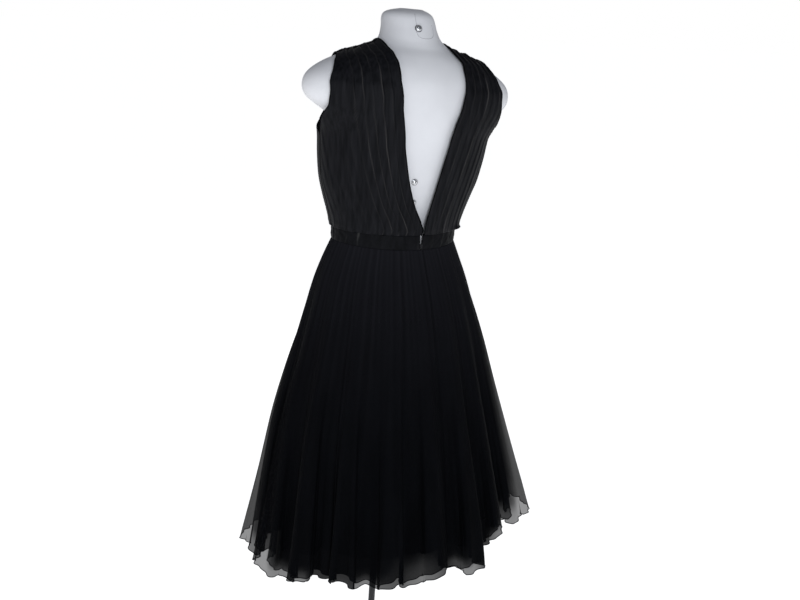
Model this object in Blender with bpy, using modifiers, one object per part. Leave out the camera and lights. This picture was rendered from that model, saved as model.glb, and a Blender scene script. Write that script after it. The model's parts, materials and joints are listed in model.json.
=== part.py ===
"""Sleeveless evening dress on a limbless dress form with its stand.

Metres, +Z up. The dress faces -Y, its wearer's left is +X, and its back is +Y.
The origin is the centre of the stand's flat underside, on the pole's axis.
Heights in the tables are measured from the waist seam, which is at WAIST_Z.
"""
import math

import bmesh
import bpy
from mathutils import Vector

# ---------------------------------------------------------------- driving sizes

WAIST_Z = 1.05            # waist seam above the floor
WALL = 0.0014             # cloth wall of the bodice and the waistband
SKIRT_WALL = 0.0017       # cloth wall of the skirt, measured along the radius
SEAM_GAP = 0.0003         # between two pieces at a seam
SEAT = 0.0023             # outer face of the plain cloth above the form's shoulder
BACK_X = -0.0160          # centre-back opening, a little to the wearer's right

SHOULDER_ROLL = 0.032     # the wearer's left shoulder is higher: rise per metre of X
ROLL_FROM = 0.10          # where the roll starts, and where it is whole
ROLL_TO = 0.24

POLE_RADIUS = 0.007
BASE_RADIUS = 0.190
BASE_THICK = 0.012
COLLAR_RADIUS = 0.021
COLLAR_HEIGHT = 0.046

FORM_SIDES = 32           # points round one ring of the form
BODICE_PLEATS = 8         # pleats in one back panel
FRONT_STRAP_PLEATS = 4    # pleats from one front shoulder to the waist
FRONT_MIDDLE_PLEATS = 3   # pleats in half of the middle front
POINTS_PER_PLEAT = 3
BAND_PLEATS = 26          # pleats all round the waistband
FLUTES = 18               # folds round the skirt's hem
POINTS_PER_FLUTE = 4

# The dress form, ring by ring: height, half width, depth to the front, depth to
# the back, how far the ring's centre leans to the front, and its X.
FORM_COLUMNS = ("z", "side", "front", "back", "lean", "x")
FORM_ROWS = (
    (-0.272, 0.138, 0.090, 0.096, 0.000, 0.0000),
    (-0.262, 0.152, 0.099, 0.107, 0.000, 0.0000),
    (-0.200, 0.160, 0.102, 0.114, 0.000, 0.0015),
    (-0.100, 0.142, 0.094, 0.098, 0.000, 0.0035),
    (-0.040, 0.121, 0.081, 0.081, 0.000, 0.0045),
    (0.000, 0.1170, 0.079, 0.0785, 0.000, 0.0045),
    (0.050, 0.123, 0.085, 0.082, 0.000, 0.0030),
    (0.110, 0.136, 0.102, 0.091, 0.000, -0.0005),
    (0.170, 0.146, 0.117, 0.097, 0.000, -0.0040),
    (0.217, 0.150, 0.112, 0.100, 0.000, -0.0060),
    (0.233, 0.157, 0.106, 0.100, 0.000, -0.0068),
    (0.244, 0.177, 0.104, 0.100, 0.000, -0.0072),
    (0.265, 0.212, 0.100, 0.099, 0.000, -0.0075),
    (0.288, 0.2165, 0.094, 0.098, 0.000, -0.0075),
    (0.306, 0.2100, 0.0875, 0.096, 0.000, -0.0075),
    (0.319, 0.1955, 0.081, 0.0925, 0.000, -0.0075),
    (0.332, 0.1745, 0.075, 0.0875, 0.000, -0.0070),
    (0.3435, 0.1500, 0.070, 0.0815, 0.000, -0.0080),
    (0.3565, 0.1070, 0.064, 0.0735, 0.001, -0.0085),
    (0.3650, 0.0850, 0.060, 0.066, 0.002, -0.0088),
    (0.3700, 0.0755, 0.058, 0.063, 0.0025, -0.0084),
    (0.3760, 0.0680, 0.056, 0.060, 0.003, -0.0075),
    (0.3815, 0.0625, 0.0545, 0.058, 0.004, -0.0063),
    (0.3880, 0.0582, 0.053, 0.0565, 0.005, -0.0050),
    (0.403, 0.0535, 0.052, 0.0535, 0.009, -0.0040),
    (0.415, 0.0525, 0.0525, 0.0525, 0.013, -0.0035),
    (0.425, 0.0500, 0.050, 0.050, 0.015, -0.0030),
    (0.4325, 0.0420, 0.042, 0.042, 0.016, -0.0045),
    (0.438, 0.0200, 0.020, 0.020, 0.017, -0.0110),
)

# The bodice's plain cloth, ring by ring up to the armholes. Above them it lies on
# the form's shoulders, with a little ease.
CLOTH_COLUMNS = ("z", "side", "front", "back")
CLOTH_ROWS = (
    (-0.040, 0.1262, 0.0905, 0.0895),
    (0.022, 0.1262, 0.0905, 0.0895),
    (0.050, 0.1370, 0.0990, 0.0955),
    (0.080, 0.1490, 0.1080, 0.0990),
    (0.120, 0.1630, 0.1190, 0.1025),
    (0.160, 0.1695, 0.1270, 0.1055),
    (0.200, 0.1740, 0.1240, 0.1075),
    (0.235, 0.1940, 0.1200, 0.1080),
    (0.265, 0.2160, 0.1140, 0.1075),
    (0.295, 0.2215, 0.1010, 0.1050),
)
SHOULDER_EASE = 0.0045    # on the shoulder's slopes, fading to nothing at its ridge
LEAST_EASE = 0.0006
SHOULDER_FROM = 0.306     # the form's ring from which the cloth follows it
STRAP_INNER = 0.068       # the shoulder seam's ends, from the ring's centre
STRAP_TIP = 0.150
OVER_SHOULDER = (0.35, 0.68, 1.0)  # the last rows up to the shoulder seam

# One back panel from the waist seam up to the shoulder seam. z_in and z_out are
# the heights at the open back's edge and at the side or armhole edge. left and
# right are the open edge's X on either side of the back. out_left and out_right are
# how far the armhole's edge lies from the ring's centre, or 0 where the panel reaches
# the side seam. pouch is how far the cloth blouses out, tuck lifts the inside of the wall
# where the cloth turns in to the waist, and relief is the height of the pleats.
BACK_COLUMNS = ("z_in", "z_out", "left", "right", "out_left", "out_right", "pouch",
                "tuck", "relief")
BACK_ROWS = (
    (0.0215, 0.0215, -0.0130, -0.0190, 0.000, 0.000, 0.0000, 0.0016, 0.0003),
    (0.0205, 0.0205, -0.0130, -0.0190, 0.000, 0.000, 0.0055, 0.0018, 0.0008),
    (0.0300, 0.0300, -0.0150, -0.0172, 0.000, 0.000, 0.0065, 0.0003, 0.0014),
    (0.0470, 0.0470, -0.0085, -0.0200, 0.000, 0.000, 0.0032, 0.0000, 0.0016),
    (0.0800, 0.0800, 0.0080, -0.0278, 0.000, 0.000, 0.0008, 0.0000, 0.0016),
    (0.1200, 0.1200, 0.0215, -0.0368, 0.000, 0.000, 0.0000, 0.0000, 0.0016),
    (0.1600, 0.1580, 0.0312, -0.0459, 0.000, 0.000, 0.0000, 0.0000, 0.0016),
    (0.2000, 0.1940, 0.0380, -0.0558, 0.000, 0.000, 0.0000, 0.0000, 0.0016),
    (0.2400, 0.2280, 0.0432, -0.0668, 0.181, 0.174, 0.0000, 0.0000, 0.0016),
    (0.2800, 0.2600, 0.0468, -0.0790, 0.181, 0.172, 0.0000, 0.0000, 0.0016),
    (0.3140, 0.2880, 0.0506, -0.0843, 0.181, 0.169, 0.0000, 0.0000, 0.0016),
    (0.3400, 0.3100, 0.0520, -0.0826, 0.178, 0.163, 0.0000, 0.0000, 0.0018),
    (0.3570, 0.3270, 0.0550, -0.0774, 0.170, 0.157, 0.0000, 0.0000, 0.0022),
    (0.3690, 0.3385, 0.0585, -0.0730, 0.162, 0.151, 0.0000, 0.0000, 0.0024),
)

# The front from the waist seam up to the shoulder seam: heights at the middle, at
# the strap's inner edge and at the side or armhole edge, then how far those two
# edges lie from the ring's centre. The middle stops at NECKLINE_ROW, so the
# neckline lies along that row.
FRONT_COLUMNS = ("z_mid", "z_in", "z_out", "inner", "out", "pouch", "tuck", "relief")
FRONT_ROWS = (
    (0.0215, 0.0215, 0.0215, 0.048, 0.000, 0.0000, 0.0016, 0.0003),
    (0.0205, 0.0205, 0.0205, 0.049, 0.000, 0.0055, 0.0018, 0.0008),
    (0.0300, 0.0300, 0.0300, 0.050, 0.000, 0.0065, 0.0003, 0.0014),
    (0.0470, 0.0470, 0.0470, 0.052, 0.000, 0.0032, 0.0000, 0.0016),
    (0.0800, 0.0800, 0.0800, 0.056, 0.000, 0.0008, 0.0000, 0.0016),
    (0.1180, 0.1200, 0.1200, 0.060, 0.000, 0.0000, 0.0000, 0.0016),
    (0.1540, 0.1600, 0.1580, 0.064, 0.000, 0.0000, 0.0000, 0.0016),
    (0.1900, 0.2000, 0.1940, 0.067, 0.000, 0.0000, 0.0000, 0.0016),
    (0.2240, 0.2400, 0.2180, 0.069, 0.152, 0.0000, 0.0000, 0.0016),
    (0.2560, 0.2780, 0.2480, 0.070, 0.130, 0.0000, 0.0000, 0.0016),
    (0.2840, 0.3100, 0.2800, 0.070, 0.126, 0.0000, 0.0000, 0.0016),
    (0.3040, 0.3340, 0.3080, 0.070, 0.125, 0.0000, 0.0000, 0.0018),
    (0.3040, 0.3540, 0.3260, 0.069, 0.133, 0.0000, 0.0000, 0.0022),
    (0.3040, 0.3680, 0.3385, 0.069, 0.142, 0.0000, 0.0000, 0.0024),
)
NECKLINE_ROW = 11

# Skirt sections at the folds' crests: height, half width at the wearer's left and
# right, depth to the front and back, and how deep the folds are.
SKIRT_COLUMNS = ("z", "left", "right", "front", "back", "fold")
SKIRT_ROWS = (
    (-0.0095, 0.1308, 0.1216, 0.0905, 0.0895, 0.0004),
    (-0.040, 0.1450, 0.1350, 0.1020, 0.1040, 0.0015),
    (-0.085, 0.1620, 0.1545, 0.1170, 0.1250, 0.0030),
    (-0.140, 0.1765, 0.1740, 0.1340, 0.1470, 0.0055),
    (-0.210, 0.1940, 0.1960, 0.1520, 0.1720, 0.0095),
    (-0.290, 0.2140, 0.2180, 0.1720, 0.1990, 0.0160),
    (-0.380, 0.2330, 0.2440, 0.1940, 0.2270, 0.0240),
    (-0.470, 0.2450, 0.2700, 0.2160, 0.2510, 0.0320),
    (-0.550, 0.2540, 0.2920, 0.2350, 0.2710, 0.0380),
    (-0.675, 0.2680, 0.3170, 0.2600, 0.2950, 0.0440),
)

# Single folds that stand out further than the others: the angle from the centre
# back towards the wearer's left, half the fold's width, how far it stands out at
# the hem, where it starts, and how quickly it grows (below 1 is quick).
FLARE_COLUMNS = ("degrees", "half", "reach", "start", "growth")
FLARE_ROWS = (
    (-68.0, 14.0, 0.041, -0.12, 0.75),
    (112.0, 13.0, 0.023, -0.26, 1.0),
    (86.0, 10.0, 0.014, -0.26, 1.0),
    (-140.0, 14.0, 0.020, -0.26, 1.0),
)

# The hem's height above the lowest point, going round from the front over the
# wearer's right, the centre back and the wearer's left to the front again.
HEM_COLUMNS = ("degrees", "lift")
HEM_ROWS = (
    (-180, 0.062), (-150, 0.070), (-110, 0.095), (-85, 0.106), (-62, 0.100),
    (-46, 0.092), (-34, 0.080), (-26, 0.070), (-18, 0.056), (-8, 0.066), (0, 0.058),
    (16, 0.052), (32, 0.042), (46, 0.044), (58, 0.032), (68, 0.016), (76, 0.002),
    (86, 0.010), (98, 0.000), (112, 0.002), (125, 0.014), (150, 0.040), (180, 0.062),
)

# The three layers: how far the crest lies inside the outline at the waist and at
# the hem, the shares of the fold and of the single flares, how much shorter the
# layer is, and its rows of cells.
LAYER_COLUMNS = ("name", "inset_waist", "inset_hem", "fold", "flare", "shorter", "rows")
LAYER_ROWS = (
    ("skirt_outer", 0.0000, 0.0000, 1.00, 1.00, 0.000, 8),
    ("skirt_inner", 0.0022, 0.0100, 0.94, 0.45, 0.012, 7),
    ("skirt_lining", 0.0044, 0.0200, 0.86, 0.00, 0.045, 5),
)

BAND_TOP = 0.0208
BAND_BOTTOM = -0.0090
BAND_RELIEF = 0.0011

# The hook's wire: its radius, half its length, its rise in the middle, how far it
# lies out from the plain cloth (past the blouse's own fullness), and its rings.
HOOK_WIRE = 0.0005
HOOK_HALF = 0.0036
HOOK_RISE = 0.0014
HOOK_LIFT = 0.0087
HOOK_RINGS = 7
HOOK_Z = 0.0300

# The zip's slider: width, thickness, length, height of its middle, and how far its
# middle lies out from the waistband.
SLIDER_SIZE = (0.0050, 0.0018, 0.0085)
SLIDER_Z = -0.0010
SLIDER_LIFT = 0.0015


# ---------------------------------------------------------------- small helpers

def table(columns, rows):
    """Rows of numbers as dictionaries under their column names."""
    return [dict(zip(columns, row)) for row in rows]


def slopes(xs, ys):
    """Tangents of a smooth curve through the points that never overshoots."""
    steps = [(ys[i + 1] - ys[i]) / (xs[i + 1] - xs[i]) for i in range(len(xs) - 1)]
    out = [steps[0]]
    for before, after in zip(steps, steps[1:]):
        out.append(0.0 if before * after <= 0 else 2 * before * after / (before + after))
    out.append(steps[-1])
    return out


def smooth(xs, ys, at):
    """The smooth curve's value at one place, held level past its ends."""
    if at <= xs[0]:
        return ys[0]
    if at >= xs[-1]:
        return ys[-1]
    i = max(k for k in range(len(xs) - 1) if xs[k] <= at)
    m = slopes(xs, ys)
    h = xs[i + 1] - xs[i]
    t = (at - xs[i]) / h
    a = (1 + 2 * t) * (1 - t) ** 2 * ys[i] + t * t * (3 - 2 * t) * ys[i + 1]
    b = h * t * (1 - t) ** 2 * m[i] - h * t * t * (1 - t) * m[i + 1]
    return a + b


def column(rows, key, name, at):
    """One named column of a table, read smoothly against its key column."""
    xs = [row[key] for row in rows]
    ys = [row[name] for row in rows]
    return smooth(xs, ys, at)


def mix(a, b, t):
    return a + (b - a) * t


FORM = table(FORM_COLUMNS, FORM_ROWS)
BACK = table(BACK_COLUMNS, BACK_ROWS)
FRONT = table(FRONT_COLUMNS, FRONT_ROWS)
SKIRT = sorted(table(SKIRT_COLUMNS, SKIRT_ROWS), key=lambda row: row["z"])
FLARES = table(FLARE_COLUMNS, FLARE_ROWS)
HEM = table(HEM_COLUMNS, HEM_ROWS)
LAYERS = table(LAYER_COLUMNS, LAYER_ROWS)


# ---------------------------------------------------------------- materials, meshes

def material(name, colour, roughness, metallic=0.0):
    made = bpy.data.materials.new(name)
    made.use_nodes = True
    shader = made.node_tree.nodes["Principled BSDF"]
    shader.inputs["Base Color"].default_value = (*colour, 1.0)
    shader.inputs["Roughness"].default_value = roughness
    shader.inputs["Metallic"].default_value = metallic
    made.diffuse_color = (*colour, 1.0)
    return made


def add_object(name, mesh, colour, roughness, metallic=0.0):
    made = bpy.data.objects.new(name, mesh)
    mesh.materials.append(material(name, colour, roughness, metallic))
    bpy.data.collections["evening_dress"].objects.link(made)
    return made


def loft(name, rings):
    """A closed solid through rings of equally many points, with flat ends."""
    bm = bmesh.new()
    loops = [[bm.verts.new(point) for point in ring] for ring in rings]
    count = len(loops[0])
    for low, high in zip(loops, loops[1:]):
        for i in range(count):
            j = (i + 1) % count
            bm.faces.new((low[i], low[j], high[j], high[i]))
    bm.faces.new(loops[0][::-1])
    bm.faces.new(loops[-1])
    bmesh.ops.recalc_face_normals(bm, faces=bm.faces)
    mesh = bpy.data.meshes.new(name)
    bm.to_mesh(mesh)
    bm.free()
    mesh.shade_smooth()
    mesh.set_sharp_from_angle(angle=math.radians(50))
    return mesh


def wall(name, outer, inner, cells=None):
    """A cloth wall between two grids of points, closed round every free edge."""
    bm = bmesh.new()
    out = [[bm.verts.new(point) for point in row] for row in outer]
    back = [[bm.verts.new(point) for point in row] for row in inner]
    turn = {}
    for i in range(len(outer) - 1):
        for j in range(len(outer[0]) - 1):
            if cells and not cells(i, j):
                continue
            corners = ((i, j), (i, j + 1), (i + 1, j + 1), (i + 1, j))
            for a, b, c in ((0, 1, 2), (0, 2, 3)):
                three = (corners[a], corners[b], corners[c])
                bm.faces.new([out[r][c] for r, c in three])
                bm.faces.new([back[r][c] for r, c in reversed(three)])
            for a, b in zip(corners, corners[1:] + corners[:1]):
                turn[(a, b)] = True
    for a, b in turn:
        if (b, a) not in turn:
            rim = (out[b[0]][b[1]], out[a[0]][a[1]], back[a[0]][a[1]], back[b[0]][b[1]])
            bm.faces.new(rim)
    loose = [vert for vert in bm.verts if not vert.link_faces]
    bmesh.ops.delete(bm, geom=loose, context="VERTS")
    bmesh.ops.recalc_face_normals(bm, faces=bm.faces)
    mesh = bpy.data.meshes.new(name)
    bm.to_mesh(mesh)
    bm.free()
    mesh.shade_smooth()
    mesh.set_sharp_from_angle(angle=math.radians(60))
    return mesh


# ---------------------------------------------------------------- stand and form

def screw_solid(name, profile, steps=32):
    """A turned solid: the profile runs down its outer side, from axis to axis."""
    mesh = bpy.data.meshes.new(name)
    edges = [(i, i + 1) for i in range(len(profile) - 1)]
    mesh.from_pydata([(x, 0.0, z) for x, z in profile], edges, [])
    made = add_object(name, mesh, (0.045, 0.047, 0.052), 0.45, 0.6)
    screw = made.modifiers.new("turn", "SCREW")
    screw.steps = steps
    screw.render_steps = steps
    screw.use_merge_vertices = True
    screw.merge_threshold = 0.0001
    return made


def make_stand():
    """A flat disc with a collar, and the pole that carries the form."""
    top = COLLAR_HEIGHT
    screw_solid("stand_base", (
        (0.0, top), (COLLAR_RADIUS - 0.003, top), (COLLAR_RADIUS, top - 0.003),
        (COLLAR_RADIUS, BASE_THICK + 0.004), (COLLAR_RADIUS + 0.006, BASE_THICK),
        (BASE_RADIUS - 0.006, BASE_THICK), (BASE_RADIUS, BASE_THICK - 0.005),
        (BASE_RADIUS, 0.002), (BASE_RADIUS - 0.002, 0.0), (0.0, 0.0)))
    foot = COLLAR_HEIGHT + SEAM_GAP
    head = WAIST_Z + FORM[0]["z"] - SEAM_GAP
    bpy.ops.mesh.primitive_cylinder_add(
        vertices=24, radius=POLE_RADIUS, depth=head - foot,
        location=(0.0, 0.0, (foot + head) / 2))
    pole = bpy.context.object
    pole.name = "stand_pole"
    pole.data.materials.append(material("stand_pole", (0.05, 0.052, 0.058), 0.4, 0.7))
    for owner in list(pole.users_collection):
        owner.objects.unlink(pole)
    bpy.data.collections["evening_dress"].objects.link(pole)
    pole.data.shade_smooth()
    pole.data.set_sharp_from_angle(angle=math.radians(40))


def form_size(z):
    """The form's half sizes at one height."""
    return {name: column(FORM, "z", name, z) for name in FORM_COLUMNS[1:]}


def ring_point(size, angle, z):
    """A point of a ring. The angle is 0 at the back and grows to the left side."""
    depth = size["back"] if math.cos(angle) > 0 else size["front"]
    x = size["x"] + size["side"] * math.sin(angle)
    y = depth * math.cos(angle) - size["lean"]
    rolled = min(1.0, max(0.0, (z - ROLL_FROM) / (ROLL_TO - ROLL_FROM)))
    return Vector((x, y, WAIST_Z + z + SHOULDER_ROLL * rolled * x))


def make_form():
    rings = []
    for row in FORM:
        turn = [2 * math.pi * i / FORM_SIDES for i in range(FORM_SIDES)]
        rings.append([ring_point(row, angle, row["z"]) for angle in turn])
    add_object("form_torso", loft("form_torso", rings), (0.80, 0.81, 0.84), 0.6)


# The studs on the form's centre back: X, height, radius, and how far the stud's
# rear face lies off the form's true round section.
STUD_COLUMNS = ("name", "x", "z", "radius", "off")
STUD_ROWS = (
    ("form_stud_neck", -0.0007, 0.4037, 0.0052, 0.0003),
    ("form_stud_back_upper", 0.0077, 0.1235, 0.0048, -0.0002),
    ("form_stud_back_lower", 0.0050, 0.0840, 0.0048, 0.0004),
)


def make_studs():
    """Small round metal studs on the form's centre back."""
    for stud in table(STUD_COLUMNS, STUD_ROWS):
        x, z, radius = stud["x"], stud["z"], stud["radius"]
        size = form_size(z)
        angle = math.asin((x - size["x"]) / size["side"])
        place = ring_point(size, angle, z)
        step = 0.005
        rise = form_size(z + step)["back"] - form_size(z - step)["back"]
        lean = form_size(z + step)["lean"] - form_size(z - step)["lean"]
        slope = (rise - lean) / (2 * step)
        out = Vector((math.sin(angle) * size["back"] / size["side"], 1.0, -slope))
        out.normalize()
        mesh = bpy.data.meshes.new(stud["name"])
        bm = bmesh.new()
        bmesh.ops.create_cone(bm, segments=16, cap_ends=True, radius1=radius,
                              radius2=radius * 0.55, depth=radius * 0.6)
        bm.to_mesh(mesh)
        bm.free()
        made = add_object(stud["name"], mesh, (0.75, 0.76, 0.78), 0.25, 1.0)
        made.rotation_euler = out.to_track_quat("Z", "Y").to_euler()
        made.location = place + out * (radius * 0.3 + stud["off"])


# ---------------------------------------------------------------- bodice

def cloth_rows():
    """The bodice's rings: its own up to the armholes, then the form's, lifted."""
    rows = []
    for row in table(CLOTH_COLUMNS, CLOTH_ROWS):
        size = form_size(row["z"])
        rows.append(dict(row, lean=size["lean"], x=size["x"]))
    for form in FORM:
        if form["z"] >= SHOULDER_FROM:
            fade = (form["side"] - STRAP_INNER) / (STRAP_TIP - STRAP_INNER)
            fade = min(1.0, max(0.0, fade))
            ease = SHOULDER_EASE * fade + LEAST_EASE
            row = dict(form, z=form["z"] + SEAT)
            for name in ("side", "front", "back"):
                row[name] = form[name] + ease
            rows.append(row)
    return rows


CLOTH = cloth_rows()


def cloth_size(z):
    """The bodice's plain section at one height."""
    return {name: column(CLOTH, "z", name, z) for name in FORM_COLUMNS[1:]}


def cloth_point(angle, z):
    """A point of the plain bodice and its outward direction."""
    size = cloth_size(z)
    key = "back" if math.cos(angle) > 0 else "front"
    up = cloth_size(z + 0.001)
    down = cloth_size(z - 0.001)
    grow_side = (up["side"] - down["side"]) / 0.002
    grow_depth = (up[key] - down[key]) / 0.002
    s = math.sin(angle)
    c = math.cos(angle)
    out = Vector((s / size["side"], c / size[key],
                  -s * s * grow_side / size["side"] - c * c * grow_depth / size[key]))
    return ring_point(size, angle, z), out.normalized()


def pleat_height(place):
    """A knife pleat's profile over one repeat: a steep rise and a long fall."""
    part = place % 1.0
    crest = 1.0 / POINTS_PER_PLEAT
    return part / crest if part < crest else (1.0 - part) / (1.0 - crest)


def edge_angle(reach, z, front):
    """Angle of the cloth's point at one distance from the ring's centre."""
    share = min(1.0, abs(reach) / cloth_size(z)["side"])
    angle = math.copysign(math.asin(share), reach)
    return math.pi - angle if front else angle


def bodice_wall(row, angle, z, place):
    """Outer and inner point of the bodice's wall: pleats outside, plain inside."""
    point, out = cloth_point(angle, z)
    scallop = 1.0 + 0.16 * math.cos(2 * math.pi * place)
    base = point + out * row["pouch"] * scallop
    outer = base + out * row["relief"] * pleat_height(place)
    inner = base - out * WALL + Vector((0.0, 0.0, row["tuck"]))
    return outer, inner


def seam_shift(pair, angle, side):
    """Moves a seam's two points half the seam gap along the cloth."""
    along = Vector((math.cos(angle), -math.sin(angle), 0.0)) * side * SEAM_GAP / 2
    return pair[0] + along, pair[1] + along


def back_panel(side):
    """Grids of one back panel, from the open back (first) to the side seam."""
    columns = BODICE_PLEATS * POINTS_PER_PLEAT
    edge, reach = ("left", "out_left") if side > 0 else ("right", "out_right")
    outer = []
    inner = []
    for row in with_shoulder(BACK):
        line_out = []
        line_in = []
        for k in range(columns + 1):
            u = k / columns
            z = mix(row["z_in"], row["z_out"], u)
            centre = cloth_size(row["z_in"])["x"]
            first = edge_angle(row[edge] - centre, row["z_in"], False)
            last = edge_angle(side * (row[reach] or 1.0), row["z_out"], False)
            angle = mix(first, last, u)
            if "done" in row:
                angle, z = over_shoulder(angle, z, u, row["done"])
            pair = bodice_wall(row, angle, z, k / POINTS_PER_PLEAT)
            if k == columns and not row[reach]:
                pair = seam_shift(pair, angle, -side)
            if row.get("done") == 1.0:
                pair = [point + Vector((0, SEAM_GAP / 2, 0)) for point in pair]
            line_out.append(pair[0])
            line_in.append(pair[1])
        outer.append(line_out)
        inner.append(line_in)
    return outer, inner


def shoulder_height(reach):
    """The height at which the cloth's ring has one half width."""
    low = CLOTH_ROWS[-1][0]
    high = FORM[-1]["z"]
    for _ in range(40):
        middle = (low + high) / 2
        low, high = (middle, high) if cloth_size(middle)["side"] > reach else (low, middle)
    return low


def over_shoulder(angle, z, share, done):
    """Angle and height of a point on its way from a panel's last row to the seam."""
    side = math.copysign(1.0, angle)
    start = cloth_size(z)["side"] * math.sin(abs(angle))
    reach = mix(start, mix(STRAP_INNER, STRAP_TIP, share), done)
    turned = mix(abs(angle), math.pi / 2, done)
    return side * turned, shoulder_height(reach / math.sin(turned))


def with_shoulder(rows):
    """A panel's rows, with the rows that lead over the shoulder to its seam."""
    return rows + [dict(rows[-1], done=done) for done in OVER_SHOULDER]


def front_places():
    """Places across the front, each with its share of the middle or the strap."""
    middle = FRONT_MIDDLE_PLEATS * POINTS_PER_PLEAT
    strap = FRONT_STRAP_PLEATS * POINTS_PER_PLEAT
    half = [("middle", k / middle, k) for k in range(middle)]
    half += [("strap", k / strap, middle + k) for k in range(strap + 1)]
    right = [(-1, *place) for place in reversed(half[1:])]
    return right + [(1, *place) for place in half]


def front_panel():
    """Grids of the front, from the wearer's right side to the left one."""
    outer = []
    inner = []
    for row in with_shoulder(FRONT):
        line_out = []
        line_in = []
        first = edge_angle(row["inner"], row["z_in"], True)
        last = edge_angle(row["out"] or 1.0, row["z_out"], True)
        for side, part, share, k in front_places():
            if part == "middle":
                z = mix(row["z_mid"], row["z_in"], share ** 2)
                angle = edge_angle(row["inner"] * share, z, True)
            else:
                z = mix(row["z_in"], row["z_out"], share)
                angle = mix(first, last, share)
                if "done" in row:
                    angle, z = over_shoulder(angle, z, share, row["done"])
            angle *= side
            pair = bodice_wall(row, angle, z, k / POINTS_PER_PLEAT)
            if part == "strap" and share == 1.0 and not row["out"]:
                pair = seam_shift(pair, angle, side)
            if row.get("done") == 1.0:
                pair = [point - Vector((0, SEAM_GAP / 2, 0)) for point in pair]
            line_out.append(pair[0])
            line_in.append(pair[1])
        outer.append(line_out)
        inner.append(line_in)
    return outer, inner


BLACK = (0.006, 0.006, 0.008)


def make_bodice():
    for name, side in (("bodice_back_left", 1), ("bodice_back_right", -1)):
        outer, inner = back_panel(side)
        add_object(name, wall(name, outer, inner), BLACK, 0.7)
    outer, inner = front_panel()
    strap = FRONT_STRAP_PLEATS * POINTS_PER_PLEAT
    width = len(outer[0])

    def covered(i, j):
        """The middle of the front has no cloth above the neckline."""
        return i < NECKLINE_ROW or j < strap or j >= width - 1 - strap

    add_object("bodice_front", wall("bodice_front", outer, inner, covered), BLACK, 0.7)


# ---------------------------------------------------------------- waistband

def back_seam_angle(z):
    """Angle of the centre-back opening on the waistband and the skirt."""
    size = cloth_size(z)
    return math.asin((BACK_X - size["x"]) / size["side"])


def panel_spans():
    """The angles between which each piece round the waist lies."""
    quarter = math.pi / 2
    middle = back_seam_angle(0.0)
    return (
        ("back_left", middle, quarter),
        ("front", quarter, 3 * quarter),
        ("back_right", 3 * quarter, 4 * quarter + middle),
    )


SLIT_ROWS = ((BAND_BOTTOM, 0.0010), (BAND_TOP, 0.0030))  # half the slit's width


def make_waistband():
    """A pleated band in three pieces, open in a narrow slit at the back."""
    for part, start, end in panel_spans():
        pleats = round(BAND_PLEATS * (end - start) / (2 * math.pi))
        columns = pleats * POINTS_PER_PLEAT
        outer = []
        inner = []
        for z, slit in SLIT_ROWS:
            line_out = []
            line_in = []
            for k in range(columns + 1):
                gap = SEAM_GAP / 2
                if part != "front" and k == (0 if part == "back_left" else columns):
                    gap = slit
                inward = (k == 0) - (k == columns)
                angle = mix(start, end, k / columns)
                point, out = cloth_point(angle, 0.0)
                point.z = WAIST_Z + z
                out.z = 0.0
                along = Vector((math.cos(angle), -math.sin(angle), 0.0))
                point += along * inward * gap
                height = BAND_RELIEF * pleat_height(k / POINTS_PER_PLEAT)
                line_out.append(point + out * height)
                line_in.append(point - out * WALL)
            outer.append(line_out)
            inner.append(line_in)
        name = "waistband_" + part
        add_object(name, wall(name, outer, inner), BLACK, 0.6)


# ---------------------------------------------------------------- skirt

def skirt_size(z):
    return {name: column(SKIRT, "z", name, z) for name in SKIRT_COLUMNS[1:]}


def flute_phase(angle):
    """Turns of the folds' wave at one angle. The folds are unevenly spaced."""
    drift = 0.55 * math.sin(2 * angle + 0.8) + 0.40 * math.sin(3 * angle + 2.1)
    return (FLUTES * angle + drift) / (2 * math.pi)


def flute_angle(phase):
    """The angle at one turn of the folds' wave."""
    low = (phase - 1.0) * 2 * math.pi / FLUTES
    high = (phase + 1.0) * 2 * math.pi / FLUTES
    for _ in range(40):
        middle = (low + high) / 2
        low, high = (middle, high) if flute_phase(middle) < phase else (low, middle)
    return low


def flute_depth(angle):
    """Some folds are deep and some are shallow."""
    return 0.80 + 0.14 * math.sin(2 * angle + 2.6) + 0.06 * math.sin(5 * angle)


def flare(angle, z):
    """How far single folds stand out past the others, and their share of the cloth."""
    out = 0.0
    share = 0.0
    for row in FLARES:
        turn = math.degrees(angle) - row["degrees"]
        turn = abs((turn + 180.0) % 360.0 - 180.0) / row["half"]
        if turn < 1.0 and z < row["start"]:
            grown = (row["start"] - z) / (row["start"] - SKIRT[0]["z"])
            bump = math.cos(turn * math.pi / 2) ** 2
            out += row["reach"] * grown ** row["growth"] * bump
            share += grown * bump
    return out, share


def hem_lift(angle):
    """The hem's height above its lowest point."""
    degrees = (math.degrees(angle) + 180.0) % 360.0 - 180.0
    return column(HEM, "degrees", "lift", degrees)


def skirt_point(layer, angle, down):
    """Outer and inner point of one layer, down from 0 at the waist to 1 at the hem."""
    top = SKIRT[-1]["z"]
    bottom = SKIRT[0]["z"] + layer["shorter"] + hem_lift(angle)
    z = mix(top, bottom, down)
    size = skirt_size(z)
    drop = (top - z) / (top - SKIRT[0]["z"])
    side = size["left"] if math.sin(angle) > 0 else size["right"]
    depth = size["back"] if math.cos(angle) > 0 else size["front"]
    radial = Vector((math.sin(angle), math.cos(angle), 0.0))
    inset = mix(layer["inset_waist"], layer["inset_hem"], drop)
    fold = size["fold"] * layer["fold"] * flute_depth(angle)
    stands, share = flare(angle, z)
    trough = 0.5 - 0.5 * math.cos(2 * math.pi * flute_phase(angle))
    trough *= 1.0 - share * layer["flare"]
    point = Vector((side * radial.x, depth * radial.y, WAIST_Z + z))
    outer = point + radial * (stands * layer["flare"] - inset - fold * trough)
    return outer, outer - radial * SKIRT_WALL


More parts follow.
